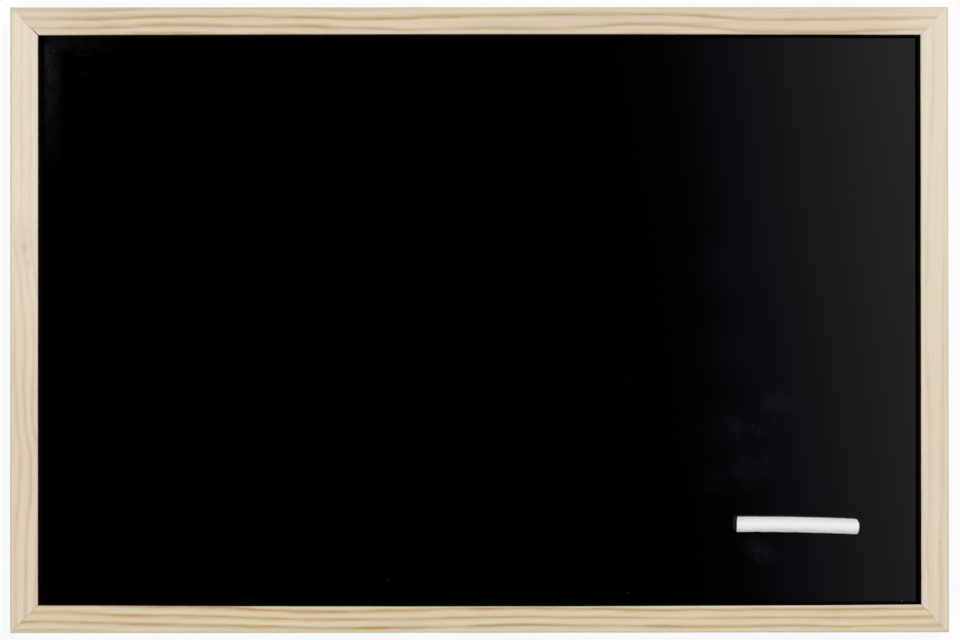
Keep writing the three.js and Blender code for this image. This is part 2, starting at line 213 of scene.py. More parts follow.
def uneven(x, y, seed, waves=7):
    """A smooth irregular surface, mostly between -1 and 1: the sum of a few sine waves over the square root
    of their number. They cross the plane in random directions, with lengths of one to four units."""
    rng = np.random.default_rng(seed)
    total = 0.0
    for _ in range(waves):
        heading, start = rng.uniform(0, 2 * np.pi, 2)
        number = 2 * np.pi / rng.uniform(1, 4)
        total = total + np.sin(number * (x * np.cos(heading) + y * np.sin(heading)) + start)
    return total / math.sqrt(waves)


# %% [markdown]
# ## Building materials from nodes
#
# Colours are written as the hex values that a colour picker shows, which are sRGB. Blender's shaders work in
# linear light, so one function turns them over. A second one adds a node with its settings and its links.
# Patterns are laid out on a piece's own coordinates, so that they stay on it when it moves. These come in
# metres, and are scaled to millimetres before anything else reads them.

# %% Colours and nodes
def linear(hex_colour):
    """The linear colour of an sRGB hex value: each channel is undone from its display curve."""
    channel = np.array([int(hex_colour[i : i + 2], 16) / 255 for i in (1, 3, 5)])
    flat = np.where(channel <= 0.04045, channel / 12.92, ((channel + 0.055) / 1.055) ** 2.4)
    return (*flat.tolist(), 1.0)


def add(tree, kind, inputs=(), points=(), **settings):
    """One node with its settings and links. Inputs go by number or name, and take a value, a socket or
    another node's first output. Points are those of a curve node, from 0 to 1 both ways."""
    node = tree.nodes.new("ShaderNode" + kind)
    for key, value in settings.items():
        setattr(node, key, value)
    if points:
        curve = node.mapping.curves[0]
        curve.points[0].location, curve.points[-1].location = points[0], points[-1]
        for spot in points[1:-1]:
            curve.points.new(*spot)
        node.mapping.update()
    for key, value in dict(inputs).items():
        named = [s for s in node.inputs if s.enabled and s.name == key]
        socket = named[0] if named else node.inputs[key]
        if isinstance(value, bpy.types.Node):
            value = next(s for s in value.outputs if s.enabled)
        if isinstance(value, bpy.types.NodeSocket):
            tree.links.new(value, socket)
        else:
            socket.default_value = value
    return node


def connect(tree, node, socket):
    """Links a node's first output in use to a socket."""
    tree.links.new(next(s for s in node.outputs if s.enabled), socket)


def in_mm(tree):
    """A piece's own coordinates in millimetres."""
    own = add(tree, "TexCoord").outputs["Object"]
    return add(tree, "Mapping", {"Vector": own, "Scale": (1 / MM, 1 / MM, 1 / MM)})


def new_finish(name, hex_colour, roughness, metallic=0.0, ior=1.45):
    """A material with its shader's own colour and numbers set."""
    finish = bpy.data.materials.new(name)
    finish.use_nodes = True
    shader = finish.node_tree.nodes["Principled BSDF"]
    shader.inputs["Base Color"].default_value = linear(hex_colour)
    shader.inputs["Roughness"].default_value = roughness
    shader.inputs["Metallic"].default_value = metallic
    if metallic == 0:
        shader.inputs["IOR"].default_value = ior
    return finish, finish.node_tree, shader


# %% [markdown]
# ## Pine
#
# The rails are planed, unvarnished pine. Its face shows the growth rings cut lengthwise: cream earlywood, and
# a tan line of latewood where each ring ends. The rings are worked out as they are in the tree, as distances
# from a pith that runs beside the rail, so the same rings run over the front, round the edges and along the
# back. They wander in and out along a rail. Two smooth curves say how: one gives the distance of one latewood
# line from the outer edge, and the other gives the spacing to the next line. Thin noise, stretched along the
# rail, lays the fibres. Real fibres are 0.03 mm wide, and here they are drawn 0.8 mm wide so that they show.

# %% Directions along the rails
# How object coordinates become millimetres along each rail, in from its outer edge, and up: the scale, the
# turn round Z and the shift, and then half the rail's length
ALONG = {
    "top": ((1000, -1000, 1000), 0.0, (0, HALF_HEIGHT, 0), HALF_WIDTH),
    "bottom": ((1000, 1000, 1000), 0.0, (0, HALF_HEIGHT, 0), HALF_WIDTH),
    "left": ((-1000, 1000, 1000), -math.pi / 2, (0, HALF_WIDTH, 0), HALF_HEIGHT),
    "right": ((1000, 1000, 1000), -math.pi / 2, (0, HALF_WIDTH, 0), HALF_HEIGHT),
}


# %% Growth rings
# A curve node only holds values from 0 to 1, so a size in millimetres goes in as its share of this one
CURVE_TOP = 20.0


def growth_rings(tree, place, share, half, lines, gaps, pith, seed):
    """The number of the latewood line next to a point, and how many millimetres the point is from it. The
    point's own number is its distance from the pith less that of the known line, over the gap. The nearest
    line's number is that one rounded, and what the rounding took off, times the gap, is the distance."""
    line_at, gap = (
        add(tree, "Math", {
            0: add(tree, "FloatCurve", {"Value": share}, points=[
                ((spot / half + 1) / 2, size / CURVE_TOP) for spot, size in curve
            ]),
            1: CURVE_TOP,
        }, operation="MULTIPLY")
        for curve in (lines, gaps)
    )
    _, across, up = add(tree, "SeparateXYZ", {"Vector": place}).outputs
    from_pith = add(tree, "Math", {0: line_at, 1: -pith[0]}, operation="ADD")

    # A slight unevenness every 2 or 3 cm. The noise is about a half, so its middle, 0.8 mm, is taken off
    uneven_at = add(tree, "Mapping", {
        "Vector": place, "Scale": (1 / 28, 1 / 9, 1 / 9), "Location": (seed, 0, 0),
    })
    wobble = add(tree, "TexNoise", {"Vector": uneven_at, "Scale": 1.0, "Detail": 2.0})
    bent = add(tree, "Math", {0: wobble, 1: 1.6, 2: across}, operation="MULTIPLY_ADD")
    here = add(tree, "CombineXYZ", {
        "X": add(tree, "Math", {0: bent, 1: -pith[0] - 0.8}, operation="ADD"),
        "Y": add(tree, "Math", {0: up, 1: -pith[1]}, operation="ADD"),
    })
    there = add(tree, "CombineXYZ", {"X": from_pith, "Y": FRONT_Z - pith[1]})
    to_here = add(tree, "VectorMath", {0: here}, operation="LENGTH").outputs["Value"]
    to_line = add(tree, "VectorMath", {0: there}, operation="LENGTH").outputs["Value"]
    apart = add(tree, "Math", {0: to_here, 1: to_line}, operation="SUBTRACT")

    # The gap is measured across the face, and the rings cut the face at a slant
    slant = add(tree, "Math", {0: to_line, 1: from_pith}, operation="DIVIDE")
    apart = add(tree, "Math", {0: apart, 1: slant}, operation="MULTIPLY")
    number = add(tree, "Math", {0: apart, 1: gap}, operation="DIVIDE")
    ring = add(tree, "Math", {0: number}, operation="ROUND")
    past = add(tree, "Math", {0: number, 1: ring}, operation="SUBTRACT")
    return ring, add(tree, "Math", {0: past, 1: gap}, operation="MULTIPLY")


# %% Latewood
def bell_curve(tree, distance, width):
    """1 where the distance is nought, falling off to both sides: e to the power of minus the square of the
    distance over the width."""
    ratio = add(tree, "Math", {0: distance, 1: width}, operation="DIVIDE")
    square = add(tree, "Math", {0: ratio, 1: 2.0}, operation="POWER")
    minus = add(tree, "Math", {0: square, 1: -1.0}, operation="MULTIPLY")
    return add(tree, "Math", {0: minus}, operation="EXPONENT")


def latewood(tree, place, ring, away, chance, seed):
    """How strongly latewood shows at a point: a bell curve over the distance from the line, a little narrower
    on the side of the next ring's earlywood, plus a thin dark core that comes and goes. Each ring has a
    strength of its own by chance, and patches of it are weaker and thinner."""
    patch_at = add(tree, "Mapping", {
        "Vector": place, "Scale": (1 / 40, 1 / 4, 1 / 9), "Location": (seed * 3, 2, 0),
    })
    patch = add(tree, "TexNoise", {"Vector": patch_at, "Scale": 1.0, "Detail": 2.0})
    patch = add(tree, "MapRange", {
        "Value": patch, "From Min": 0.3, "From Max": 0.7, "To Min": 0.6, "To Max": 1.1,
    })
    width = add(tree, "MapRange", {
        "Value": away, "From Min": -0.3, "From Max": 0.3, "To Min": 1.5, "To Max": 1.1,
    })
    thinner = add(tree, "Math", {0: patch, 1: 0.12}, operation="ADD")
    width = add(tree, "Math", {0: width, 1: thinner}, operation="MULTIPLY")

    broken_at = add(tree, "Mapping", {
        "Vector": place, "Scale": (1 / 24, 1 / 2.2, 1 / 5), "Location": (seed * 5, 4, 1),
    })
    broken = add(tree, "TexNoise", {"Vector": broken_at, "Scale": 1.0, "Detail": 2.0})
    broken = add(tree, "MapRange", {
        "Value": broken, "From Min": 0.42, "From Max": 0.62, "To Min": 0.0, "To Max": 0.32,
    })
    core = add(tree, "Math", {0: bell_curve(tree, away, 0.55), 1: broken}, operation="MULTIPLY")
    bell = add(tree, "Math", {0: bell_curve(tree, away, width), 1: 0.85, 2: core}, operation="MULTIPLY_ADD")

    own = add(tree, "TexWhiteNoise", {"W": ring}, noise_dimensions="1D").outputs["Value"]
    own = add(tree, "MapRange", {"Value": own, "To Min": 0.75, "To Max": 1.0})
    chance = add(tree, "Math", {0: own, 1: chance}, operation="MULTIPLY")
    line = add(tree, "Math", {0: bell, 1: chance}, operation="MULTIPLY")
    return add(tree, "Math", {0: line, 1: patch}, operation="MULTIPLY")


# %% Edges of the face
def eased_edges(tree, across, up):
    """Two shares near the long edges of the face: how much painted shade, as a grey, lies on their rounding,
    and how much of the latewood handling hasn't rubbed away. Both change evenly over a millimetre or two."""
    # The first share is painted shade: a grey where the rounded edges, outer and inner, turn away from the
    # light
    outer = add(tree, "MapRange", {
        "Value": across, "From Min": 0.6, "From Max": 1.9, "To Min": 1.0, "To Max": 0.0,
    })
    inner = add(tree, "MapRange", {
        "Value": across, "From Min": FACE - 1.1, "From Max": FACE - 0.4, "To Max": 0.8,
    })
    on_front = add(tree, "MapRange", {"Value": up, "From Min": FRONT_Z - 2.0, "From Max": FRONT_Z - 1.5})
    worn = add(tree, "Math", {0: outer, 1: inner}, operation="MAXIMUM")
    worn = add(tree, "Math", {0: on_front, 1: worn}, operation="MULTIPLY")
    kept = add(tree, "MapRange", {
        "Value": across, "From Min": 1.0, "From Max": 3.0, "To Min": 0.25, "To Max": 1.0,
    })
    on_side = add(tree, "MapRange", {
        "Value": up, "From Min": FRONT_Z - 3.0, "From Max": FRONT_Z - 1.5, "To Min": 1.0, "To Max": 0.0,
    })
    return worn, add(tree, "Math", {0: kept, 1: on_side}, operation="MAXIMUM")


def black_inner_edge(tree, place, across, up, colour):
    """The colour turned near black on the lowest part of the face's inner rounded edge, next to the black
    wall, with an uneven top line.
    """
    smudge = add(tree, "TexNoise", {"Vector": place, "Scale": 0.35, "Detail": 2.0})
    level = add(tree, "Math", {0: smudge, 1: 0.4, 2: up}, operation="MULTIPLY_ADD")
    low = add(tree, "MapRange", {
        "Value": level, "From Min": FRONT_Z - 0.5, "From Max": FRONT_Z - 0.25, "To Min": 1.0, "To Max": 0.0,
    })
    inside = add(tree, "MapRange", {"Value": across, "From Min": FACE - 1.8, "From Max": FACE - 1.6})
    black = add(tree, "Math", {0: low, 1: inside}, operation="MULTIPLY")
    return add(tree, "Mix", {"Factor": black, "A": colour, "B": linear("#120A06")}, data_type="RGBA")


# %% Fibres and hues
def fibrous(tree, place, fibres, seed):
    """How light the fibres are at a point, about a half on average, and the tone that they and some broader
    streaks give the colour, which is near 1. Both are noise that is stretched along the rail."""
    thread_at = add(tree, "Mapping", {
        "Vector": place, "Scale": (1 / 60, 1 / 0.8, 1 / 0.8), "Location": (seed, 5, 0),
    })
    thread = add(tree, "TexNoise", {"Vector": thread_at, "Scale": 1.0, "Detail": 6.0, "Roughness": 0.65})
    streak_at = add(tree, "Mapping", {
        "Vector": place, "Scale": (1 / 120, 1 / 1.9, 1 / 1.9), "Location": (seed, 9, 0),
    })
    streak = add(tree, "TexNoise", {"Vector": streak_at, "Scale": 1.0, "Detail": 2.0})
    tone = add(tree, "Math", {0: thread, 1: 0.28 * fibres, 2: 1 - 0.27 * fibres}, operation="MULTIPLY_ADD")
    return thread, add(tree, "Math", {0: streak, 1: 0.26 * fibres, 2: tone}, operation="MULTIPLY_ADD")


def rosy_or_olive(tree, place, colour, seed):
    """The colour with some streaks rosier than the rest and some more olive, about 3 cm long."""
    hue_at = add(tree, "Mapping", {
        "Vector": place, "Scale": (1 / 30, 1 / 3.5, 1 / 6), "Location": (seed, 1, 7),
    })
    hue = add(tree, "TexNoise", {"Vector": hue_at, "Scale": 1.0, "Detail": 2.0})
    hue = add(tree, "MapRange", {"Value": hue, "From Min": 0.33, "From Max": 0.67})
    hue = add(tree, "Mix", {
        "Factor": hue, "A": (0.985, 0.98, 0.91, 1), "B": (1.015, 0.955, 0.965, 1),
    }, data_type="RGBA")
    return add(tree, "VectorMath", {0: colour, 1: hue}, operation="MULTIPLY")


# %% Knots and resin
def knotted(tree, place, colour, knots):
    """The colour with its knots: round the middle of each, a brown that fades to nothing at its radius. The
    distance is shortened along the rail, so a knot is drawn out that way."""
    for spot, inward, size, strength in knots:
        away = add(tree, "VectorMath", {0: place, 1: (spot, inward, FRONT_Z)}, operation="SUBTRACT")
        away = add(tree, "VectorMath", {0: away, 1: (0.4, 1.0, 0.3)}, operation="MULTIPLY")
        away = add(tree, "VectorMath", {0: away}, operation="LENGTH").outputs["Value"]
        knot = add(tree, "MapRange", {
            "Value": away, "From Min": 0.1 * size, "From Max": size, "To Min": strength, "To Max": 0.0,
        }, interpolation_type="SMOOTHERSTEP")
        colour = add(tree, "Mix", {"Factor": knot, "A": colour, "B": linear("#8F7650")}, data_type="RGBA")
    return colour


def resinous(tree, place, colour, seed):
    """The colour with resin canals: dashes about 0.3 mm thin and 3 mm long, here and there."""
    canal_at = add(tree, "Mapping", {
        "Vector": place, "Scale": (1 / 16, 1 / 1.3, 1 / 1.3), "Location": (seed, 3, 4),
    })
    canal = add(tree, "TexVoronoi", {"Vector": canal_at, "Scale": 1.0}, feature="F1").outputs["Distance"]
    canal = add(tree, "MapRange", {
        "Value": canal, "From Min": 0.05, "From Max": 0.16, "To Min": 0.16, "To Max": 0.0,
    })
    return add(tree, "Mix", {"Factor": canal, "A": colour, "B": linear("#9A7648")}, data_type="RGBA")


# %% Pine finish
def pine(side, lines, gaps, early, late, depth, fade, fibres, pith, seed, knots=()):
    """Planed pine for one rail. Lines and gaps are curves along the rail in millimetres, early the colour of
    earlywood and depth the strength of latewood at both ends of the rail, late the colour of latewood, fade
    how much of its strength is left at the mitres, fibres the strength of the fine grain, pith the place of
    the heart, in from the outer edge and up, and knots small ones as a place along, a place in, a radius and
    a strength. The colour goes from earlywood to latewood by the latewood's strength, times the tone of the
    fibres."""
    finish, tree, shader = new_finish(f"planed_pine_{side}", early[0], 0.62)
    scale, turn, shift, half = ALONG[side]
    own = add(tree, "TexCoord").outputs["Object"]
    place = add(tree, "Mapping", {"Vector": own, "Scale": scale, "Rotation": (0, 0, turn), "Location": shift})
    length, across, up = add(tree, "SeparateXYZ", {"Vector": place}).outputs
    share = add(tree, "MapRange", {"Value": length, "From Min": -half, "From Max": half})
    ring, away = growth_rings(tree, place, share, half, lines, gaps, pith, seed)

    # Latewood is weaker at the mitres, and its strength goes from one end's to the other's mid-way
    strength = add(tree, "MapRange", {
        "Value": share, "From Min": 0.35, "From Max": 0.65, "To Min": depth[0], "To Max": depth[1],
    })
    from_middle = add(tree, "Math", {0: length}, operation="ABSOLUTE")
    from_end = add(tree, "Math", {0: half, 1: from_middle}, operation="SUBTRACT")
    full = add(tree, "MapRange", {
        "Value": from_end, "From Min": 12, "From Max": 50,
    }, interpolation_type="SMOOTHSTEP")
    faded = add(tree, "MapRange", {"Value": full, "To Min": fade, "To Max": 1.0})
    strength = add(tree, "Math", {0: strength, 1: faded}, operation="MULTIPLY")
    line = latewood(tree, place, ring, away, strength, seed)
    worn, kept = eased_edges(tree, across, up)
    line = add(tree, "Math", {0: line, 1: kept}, operation="MULTIPLY")

    # The fibres run through the latewood too, and make it stronger and weaker
    thread, tone = fibrous(tree, place, fibres, seed)
    strands = add(tree, "Math", {0: thread, 1: 0.9, 2: 0.55}, operation="MULTIPLY_ADD")
    line = add(tree, "Math", {0: line, 1: strands}, operation="MULTIPLY", use_clamp=True)

    # Earlywood is cream, and paler at the mitres
    cream = add(tree, "MapRange", {"Value": share, "From Min": 0.3, "From Max": 0.7})
    cream = add(tree, "Mix", {
        "Factor": cream, "A": linear(early[0]), "B": linear(early[1]),
    }, data_type="RGBA")
    pale = add(tree, "MapRange", {"Value": full, "To Min": 0.8 * (1 - fade), "To Max": 0.0})
    cream = add(tree, "Mix", {"Factor": pale, "A": cream, "B": linear("#EADFCC")}, data_type="RGBA")
    colour = add(tree, "Mix", {"Factor": line, "A": cream, "B": linear(late)}, data_type="RGBA")
    colour = add(tree, "VectorMath", {0: colour, "Scale": tone}, operation="SCALE")

    # Over that come the hues, knots and resin, a grey of painted shade on the rounded edges, and near black
    # on the lowest part of the inner edge
    colour = rosy_or_olive(tree, place, colour, seed)
    colour = resinous(tree, place, knotted(tree, place, colour, knots), seed)
    # Painted shade on the rounded edges, mixed in as a grey
    edge_shade = add(tree, "Math", {0: worn, 1: 0.45}, operation="MULTIPLY")
    colour = add(tree, "Mix", {"Factor": edge_shade, "A": colour, "B": linear("#BCB8A6")}, data_type="RGBA")
    connect(tree, black_inner_edge(tree, place, across, up, colour), shader.inputs["Base Color"])

    # Latewood is harder than earlywood, so planing leaves it a few hundredths of a millimetre proud
    relief = add(tree, "Math", {0: line, 1: 1.2, 2: thread}, operation="MULTIPLY_ADD")
    bump = add(tree, "Bump", {"Height": relief, "Strength": 0.35, "Distance": 0.08 * MM})
    connect(tree, bump, shader.inputs["Normal"])
    gloss = add(tree, "MapRange", {"Value": line, "To Min": 0.66, "To Max": 0.52})
    connect(tree, gloss, shader.inputs["Roughness"])
    return finish


# %% Pine for each rail
# One latewood line of each rail, as it wanders on the real frame, and the spacing to the next
PINE = {
    "top": pine(
        "top",
        lines=[
            (-300, 8.0), (-250, 7.9), (-230, 7.5), (-210, 6.3), (-190, 6.0), (-150, 6.1), (-115, 6.6),
            (-80, 7.6), (-50, 7.3), (-25, 6.5), (10, 5.5), (50, 5.2), (75, 4.8), (125, 5.2), (150, 6.3),
            (172, 8.0), (210, 8.2), (250, 7.6), (300, 7.1),
        ],
        gaps=[
            (-300, 5.8), (-205, 5.6), (-150, 6.3), (-90, 5.8), (-35, 7.6), (60, 8.3), (105, 6.6), (160, 7.5),
            (205, 8.4), (300, 6.8),
        ],
        early=("#DFD0B5", "#DBCBB2"), late="#B08B4C", depth=(0.88, 0.74), fade=0.45, fibres=1.0,
        pith=(-70, -40), seed=3.1,
    ),
    "bottom": pine(
        "bottom",
        lines=[
            (-300, 7.3), (-265, 7.6), (-230, 6.3), (-190, 5.4), (-150, 4.8), (-105, 3.7), (-55, 3.5),
            (-15, 4.3), (25, 4.9), (70, 4.8), (130, 4.1), (190, 4.3), (250, 4.5), (300, 5.4),
        ],
        gaps=[
            (-300, 6.0), (-230, 5.6), (-180, 5.8), (-110, 5.1), (-40, 5.7), (70, 5.3), (180, 5.4), (300, 5.4),
        ],
        early=("#DECEAE", "#E0D2B4"), late="#AF8644", depth=(0.84, 0.76), fade=0.9, fibres=1.0,
        pith=(-85, -30), seed=8.4,
    ),
    "left": pine(
        "left",
        lines=[
            (-200, 10.0), (-150, 10.5), (-128, 11.4), (-104, 13.4), (-88, 13.3), (-70, 10.6), (-48, 9.3),
            (-12, 9.7), (12, 8.4), (32, 5.8), (52, 3.0), (75, 1.8), (120, 1.4), (200, 2.0),
        ],
        gaps=[(-200, 5.6), (-100, 6.6), (-60, 4.8), (-20, 6.2), (30, 5.3), (100, 6.3), (200, 5.6)],
        early=("#E3D3BD", "#EDE1CD"), late="#BFA374", depth=(0.52, 0.22), fade=1.0, fibres=0.55,
        pith=(-60, -60), seed=5.7,
        knots=[(46.7, 9.3, 2.4, 0.16), (36.0, 12.5, 1.6, 0.16), (50.0, 9.0, 10.0, 0.08)],
    ),
    "right": pine(
        "right",
        lines=[
            (-200, 6.8), (-165, 5.6), (-150, 6.3), (-120, 4.7), (-70, 4.1), (0, 3.8), (60, 2.9), (110, 2.0),
            (150, 0.0), (200, 0.0),
        ],
        gaps=[(-200, 8.0), (-60, 9.4), (0, 11.4), (60, 10.6), (200, 10.0)],
        early=("#E3D6C1", "#E5DBC6"), late="#C4AC7E", depth=(0.4, 0.34), fade=1.0, fibres=0.5,
        pith=(-120, -90), seed=1.9,
        knots=[(-143.0, 6.0, 1.3, 0.16), (-125.0, 1.6, 1.4, 0.16)],
    ),
}
print("pine finishes:", sorted(PINE))

# %% [markdown]
# ## The four rails
#
# Each rail is a length of rebated moulding: its outline is carried along a straight path, and both ends are
# cut to 45 degrees simply by moving every point along the rail by its distance from the outer edge. The
# sheet has sprung the two long rails a little, so their inner edges bow outwards. At the top left corner the
# glue line has opened towards the inside. Each mitre is held by two V-shaped nails, driven in from the back
# to just under the surface, so the wood above them is cut away to show them.

# %% Rails
rail_outline = rounded(
    [(0, 0), (BACK, 0), (BACK, REBATE), (FACE, REBATE), (FACE, FRONT_Z - BACK_Z), (0, FRONT_Z - BACK_Z)],
    [0.5, 0.25, 0.1, 0.2, INNER_ROUND, OUTER_ROUND],
)
rail_outline = refined(rail_outline, 1.5)
LENGTH = {"top": 2 * HALF_WIDTH, "bottom": 2 * HALF_WIDTH, "left": 2 * HALF_HEIGHT, "right": 2 * HALF_HEIGHT}
# For each rail, how far the glue line has opened at its two ends: at the inner edge, and at the outer edge
OPENED = {
    "top": ((0.42, 0.02), (0.04, 0.01)), "bottom": ((0.02, 0.1), (0.13, 0.01)),
    "left": ((0.02, 0.1), (0.24, 0.02)), "right": ((0.13, 0.01), (0.04, 0.01)),
}
BOW = {"top": 0.55, "bottom": 0.95, "left": 0.0, "right": 0.0}


def rail_grid(side):
    """The moulding's outline at 151 places along the rail, as distances along, in and up. A point's place is
    its share of the half length less its distance in from the outer edge, so both ends lie in the planes of
    the mitres; opened then moves the inner part of an end back from the glue line. The lip bows outwards as a
    parabola does, and the edges stray by a few hundredths of a millimetre, as eased edges do."""
    share = np.linspace(-1, 1, 151)[:, None]
    across, up = rail_outline[None, :, 0], rail_outline[None, :, 1] + 0 * share
    (low_in, low_out), (high_in, high_out) = OPENED[side]
    widening = np.clip((across - 8) / (FACE - 8), 0, 1) ** 1.5
    opened = np.where(
        share < 0, low_out + (low_in - low_out) * widening, high_out + (high_in - high_out) * widening,
    )
    # The high power leaves only the last few centimetres before the mitre changed
    along = share * (LENGTH[side] / 2 - across - opened * np.abs(share) ** 20)
    # Uneven goes up to about 1.9 here, so the edges only stray inwards, and the rail keeps to its solid. The
    # number of letters in the side's name is a seed that gives each rail edges of its own
    stray = 0.03 * (uneven(along / 25, up / 9 + across / 6, len(side)) - 1.9)
    lip = (up > REBATE - 0.3) * np.clip((across - BACK) / (FACE - BACK), 0, 1)
    across = across - BOW[side] * lip * (1 - share**2)
    return along, across + stray * (across > 14) - stray * (across < 2), up


def place_rail(side, along, across, up):
    """Turns distances along, in and up into the board's X, Y and Z for one side of the frame."""
    spots = {
        "top": (along, HALF_HEIGHT - across),
        "bottom": (along, across - HALF_HEIGHT),
        "left": (across - HALF_WIDTH, along),
        "right": (HALF_WIDTH - across, along),
    }
    x, y = spots[side]
    return np.stack([x, y, up + BACK_Z], axis=-1)


# %% Pockets for the mitre nails
# The nails' sizes, the angle of a leg to the mitre, and the distances of the tips from the outer corner
NAIL_LEG, NAIL_THICKNESS, NAIL_ANGLE = 4.2, 0.6, math.radians(50)
NAIL_TIPS = (8.04, 14.85)


def pocket_grid(corner_x, corner_y, tip):
    """A V as an outline at two heights. Its tip lies on the mitre at a distance from the outer corner and
    points to the middle of the board. Each leg is a strip: its outer line from the tip, and its inner line
    from further back by the thickness over the sine of the half angle. The pocket is larger than the nail by
    a spare width on each side, is 1.4 mm deep, and starts below the rail's back so that no skin is left."""
    spare, depth, below = 0.1, 1.4, 1.0
    sine, cosine = math.sin(NAIL_ANGLE), math.cos(NAIL_ANGLE)
    leg, thick, front = NAIL_LEG + 3 * spare, NAIL_THICKNESS + 2 * spare, tip + spare / sine
    outer = (front - leg * cosine, leg * sine)
    inner = (outer[0] - thick * sine, outer[1] - thick * cosine)
    outline = np.array([
        (front, 0), outer, inner, (front - thick / sine, 0), (inner[0], -inner[1]), (outer[0], -outer[1]),
    ])
    inward = -np.array([math.copysign(1, corner_x), math.copysign(1, corner_y)]) / math.sqrt(2)
    sideways = np.array([-inward[1], inward[0]])
    spots = np.array([corner_x, corner_y]) + outline[:, :1] * inward + outline[:, 1:] * sideways
    levels = (BACK_Z - below, BACK_Z + depth)
    return np.stack([np.column_stack([spots, np.full(len(spots), z)]) for z in levels])


pockets = make_mesh("nail_pockets", [
    pocket_grid(x, y, tip)
    for x in (-HALF_WIDTH, HALF_WIDTH)
    for y in (-HALF_HEIGHT, HALF_HEIGHT)
    for tip in NAIL_TIPS
])


def with_pockets(mesh):
    """The same mesh less the pockets. A Boolean modifier cuts them, on two objects that are then removed."""
    body, cutter = bpy.data.objects.new("uncut", mesh), bpy.data.objects.new("cutter", pockets)
    for item in (body, cutter):
        bpy.context.scene.collection.objects.link(item)
    saw = body.modifiers.new("pockets", "BOOLEAN")
    saw.object, saw.solver = cutter, "MANIFOLD"
    cut = bpy.data.meshes.new_from_object(body.evaluated_get(bpy.context.evaluated_depsgraph_get()))
    cut.materials.clear()
    for item in (body, cutter):
        bpy.data.objects.remove(item)
    return cut


# %% The black wall inside the lip
# The inside wall of the lip is coloured near black, with a faint mottle, and is dead matt.
stained, tree, shader = new_finish("near_black_lip_wall", "#0B0402", 0.9)
shader.inputs["Specular IOR Level"].default_value = 0.05
place = in_mm(tree)
dark_mottle = add(tree, "TexNoise", {"Vector": place, "Scale": 0.5, "Detail": 3.0})
dark_mottle = add(tree, "Mix", {"Factor": dark_mottle, "A": linear("#060201"), "B": linear("#100603")}, data_type="RGBA")
connect(tree, dark_mottle, shader.inputs["Base Color"])
print(f"{stained.name}: {len(tree.nodes)} nodes")

# %% The four rails
# The way each inside wall faces, by which its faces are found
INWARD = {"top": (0, -1, 0), "bottom": (0, 1, 0), "left": (1, 0, 0), "right": (-1, 0, 0)}
for side in ("top", "bottom", "left", "right"):
    mesh = with_pockets(make_mesh(f"{side}_pine_rail", [place_rail(side, *rail_grid(side))]))
    facing, middle = np.zeros(3 * len(mesh.polygons)), np.zeros(3 * len(mesh.polygons))
    mesh.polygons.foreach_get("normal", facing)
    mesh.polygons.foreach_get("center", middle)
    wall = (facing.reshape(-1, 3) @ INWARD[side] > 0.95) & (middle[2::3] > (BACK_Z + REBATE) * MM)
    make_piece(f"{side}_pine_rail", mesh, PINE[side], BOARD, [f"{side}_rail"], sharp=40)
    mesh.materials.append(stained)
    mesh.polygons.foreach_set("material_index", wall.astype(np.int32))
    print(f"{side} rail: {wall.sum()} stained faces")

# %% [markdown]
# ## The writing sheet
#
# The sheet is 3 mm hardboard. Its face has a smooth black lacquer, which mirrors the studio softly, and its
# back is the raw brown side with the print of the wire screen that it was pressed on. One material does both:
# the height in the sheet tells them apart. The face also carries what use leaves behind. A faint grey haze
# lies in the top left corner, a few places near the chalk were wiped with a finger, and some grains of chalk
# dust lie about. These marks are measured: each one has a place, a radius and a strength.

# %% Marks on the face
# In millimetres on the board: x, y, radius, and how much of the mark's pale grey shows
GRAINS = [
    (95.7, -175.6, 0.45, 0.05), (-59.4, -167.2, 0.45, 0.05), (271.4, -180.8, 0.6, 0.2),
    (176.1, -68.2, 0.45, 0.05), (97.6, -38.5, 0.4, 0.035), (11.4, -177.5, 0.4, 0.03),
    (248.8, 174.4, 0.45, 0.05), (110.5, -156.3, 0.4, 0.03), (273.9, 157.1, 0.45, 0.05),
    (-78.7, 143.6, 0.4, 0.02), (-273.7, 173.2, 0.6, 0.04), (-276.9, 160.9, 0.5, 0.03),
    (-228.6, -48.8, 0.35, 0.015), (-137.9, -118.3, 0.35, 0.015), (-245.1, -180.6, 0.4, 0.04),
]
WIPES = [
    (188.0, -54.0, 12.0, 0.005), (200.0, -52.0, 11.0, 0.0045), (165.0, -69.0, 11.0, 0.0045),
    (180.0, -71.0, 8.0, 0.003), (170.0, -98.0, 16.0, 0.0045), (184.0, -93.0, 12.0, 0.003),
    (176.0, -146.0, 12.0, 0.0055), (184.0, -150.0, 11.0, 0.0045), (150.0, -104.0, 15.0, 0.0025),
    (160.0, 32.0, 34.0, 0.002), (160.0, -20.0, 36.0, 0.002), (158.0, -72.0, 34.0, 0.002),
]
# Scratches run between two places: x, y, x, y, and the strength
SCRATCHES = [(-259.0, 170.7, -250.0, 170.8, 0.011), (-257.6, 159.2, -253.4, 158.3, 0.012)]
print(f"marks: {len(GRAINS)} grains, {len(WIPES)} wiped places, {len(SCRATCHES)} scratches")

# %% Black lacquered hardboard: wiped places
# How blurred the lacquer mirrors, and how much more so where something dulls it
LACQUER_BLUR, DULLED = 0.09, 8.0
lacquered, tree, shader = new_finish("black_lacquered_hardboard", "#020203", LACQUER_BLUR, ior=1.5)
place = in_mm(tree)
x, y, z = add(tree, "SeparateXYZ", {"Vector": place}).outputs
is_face = add(tree, "MapRange", {
    "Value": z, "From Min": panel_high[2] - 0.25, "From Max": panel_high[2] - 0.15,
})

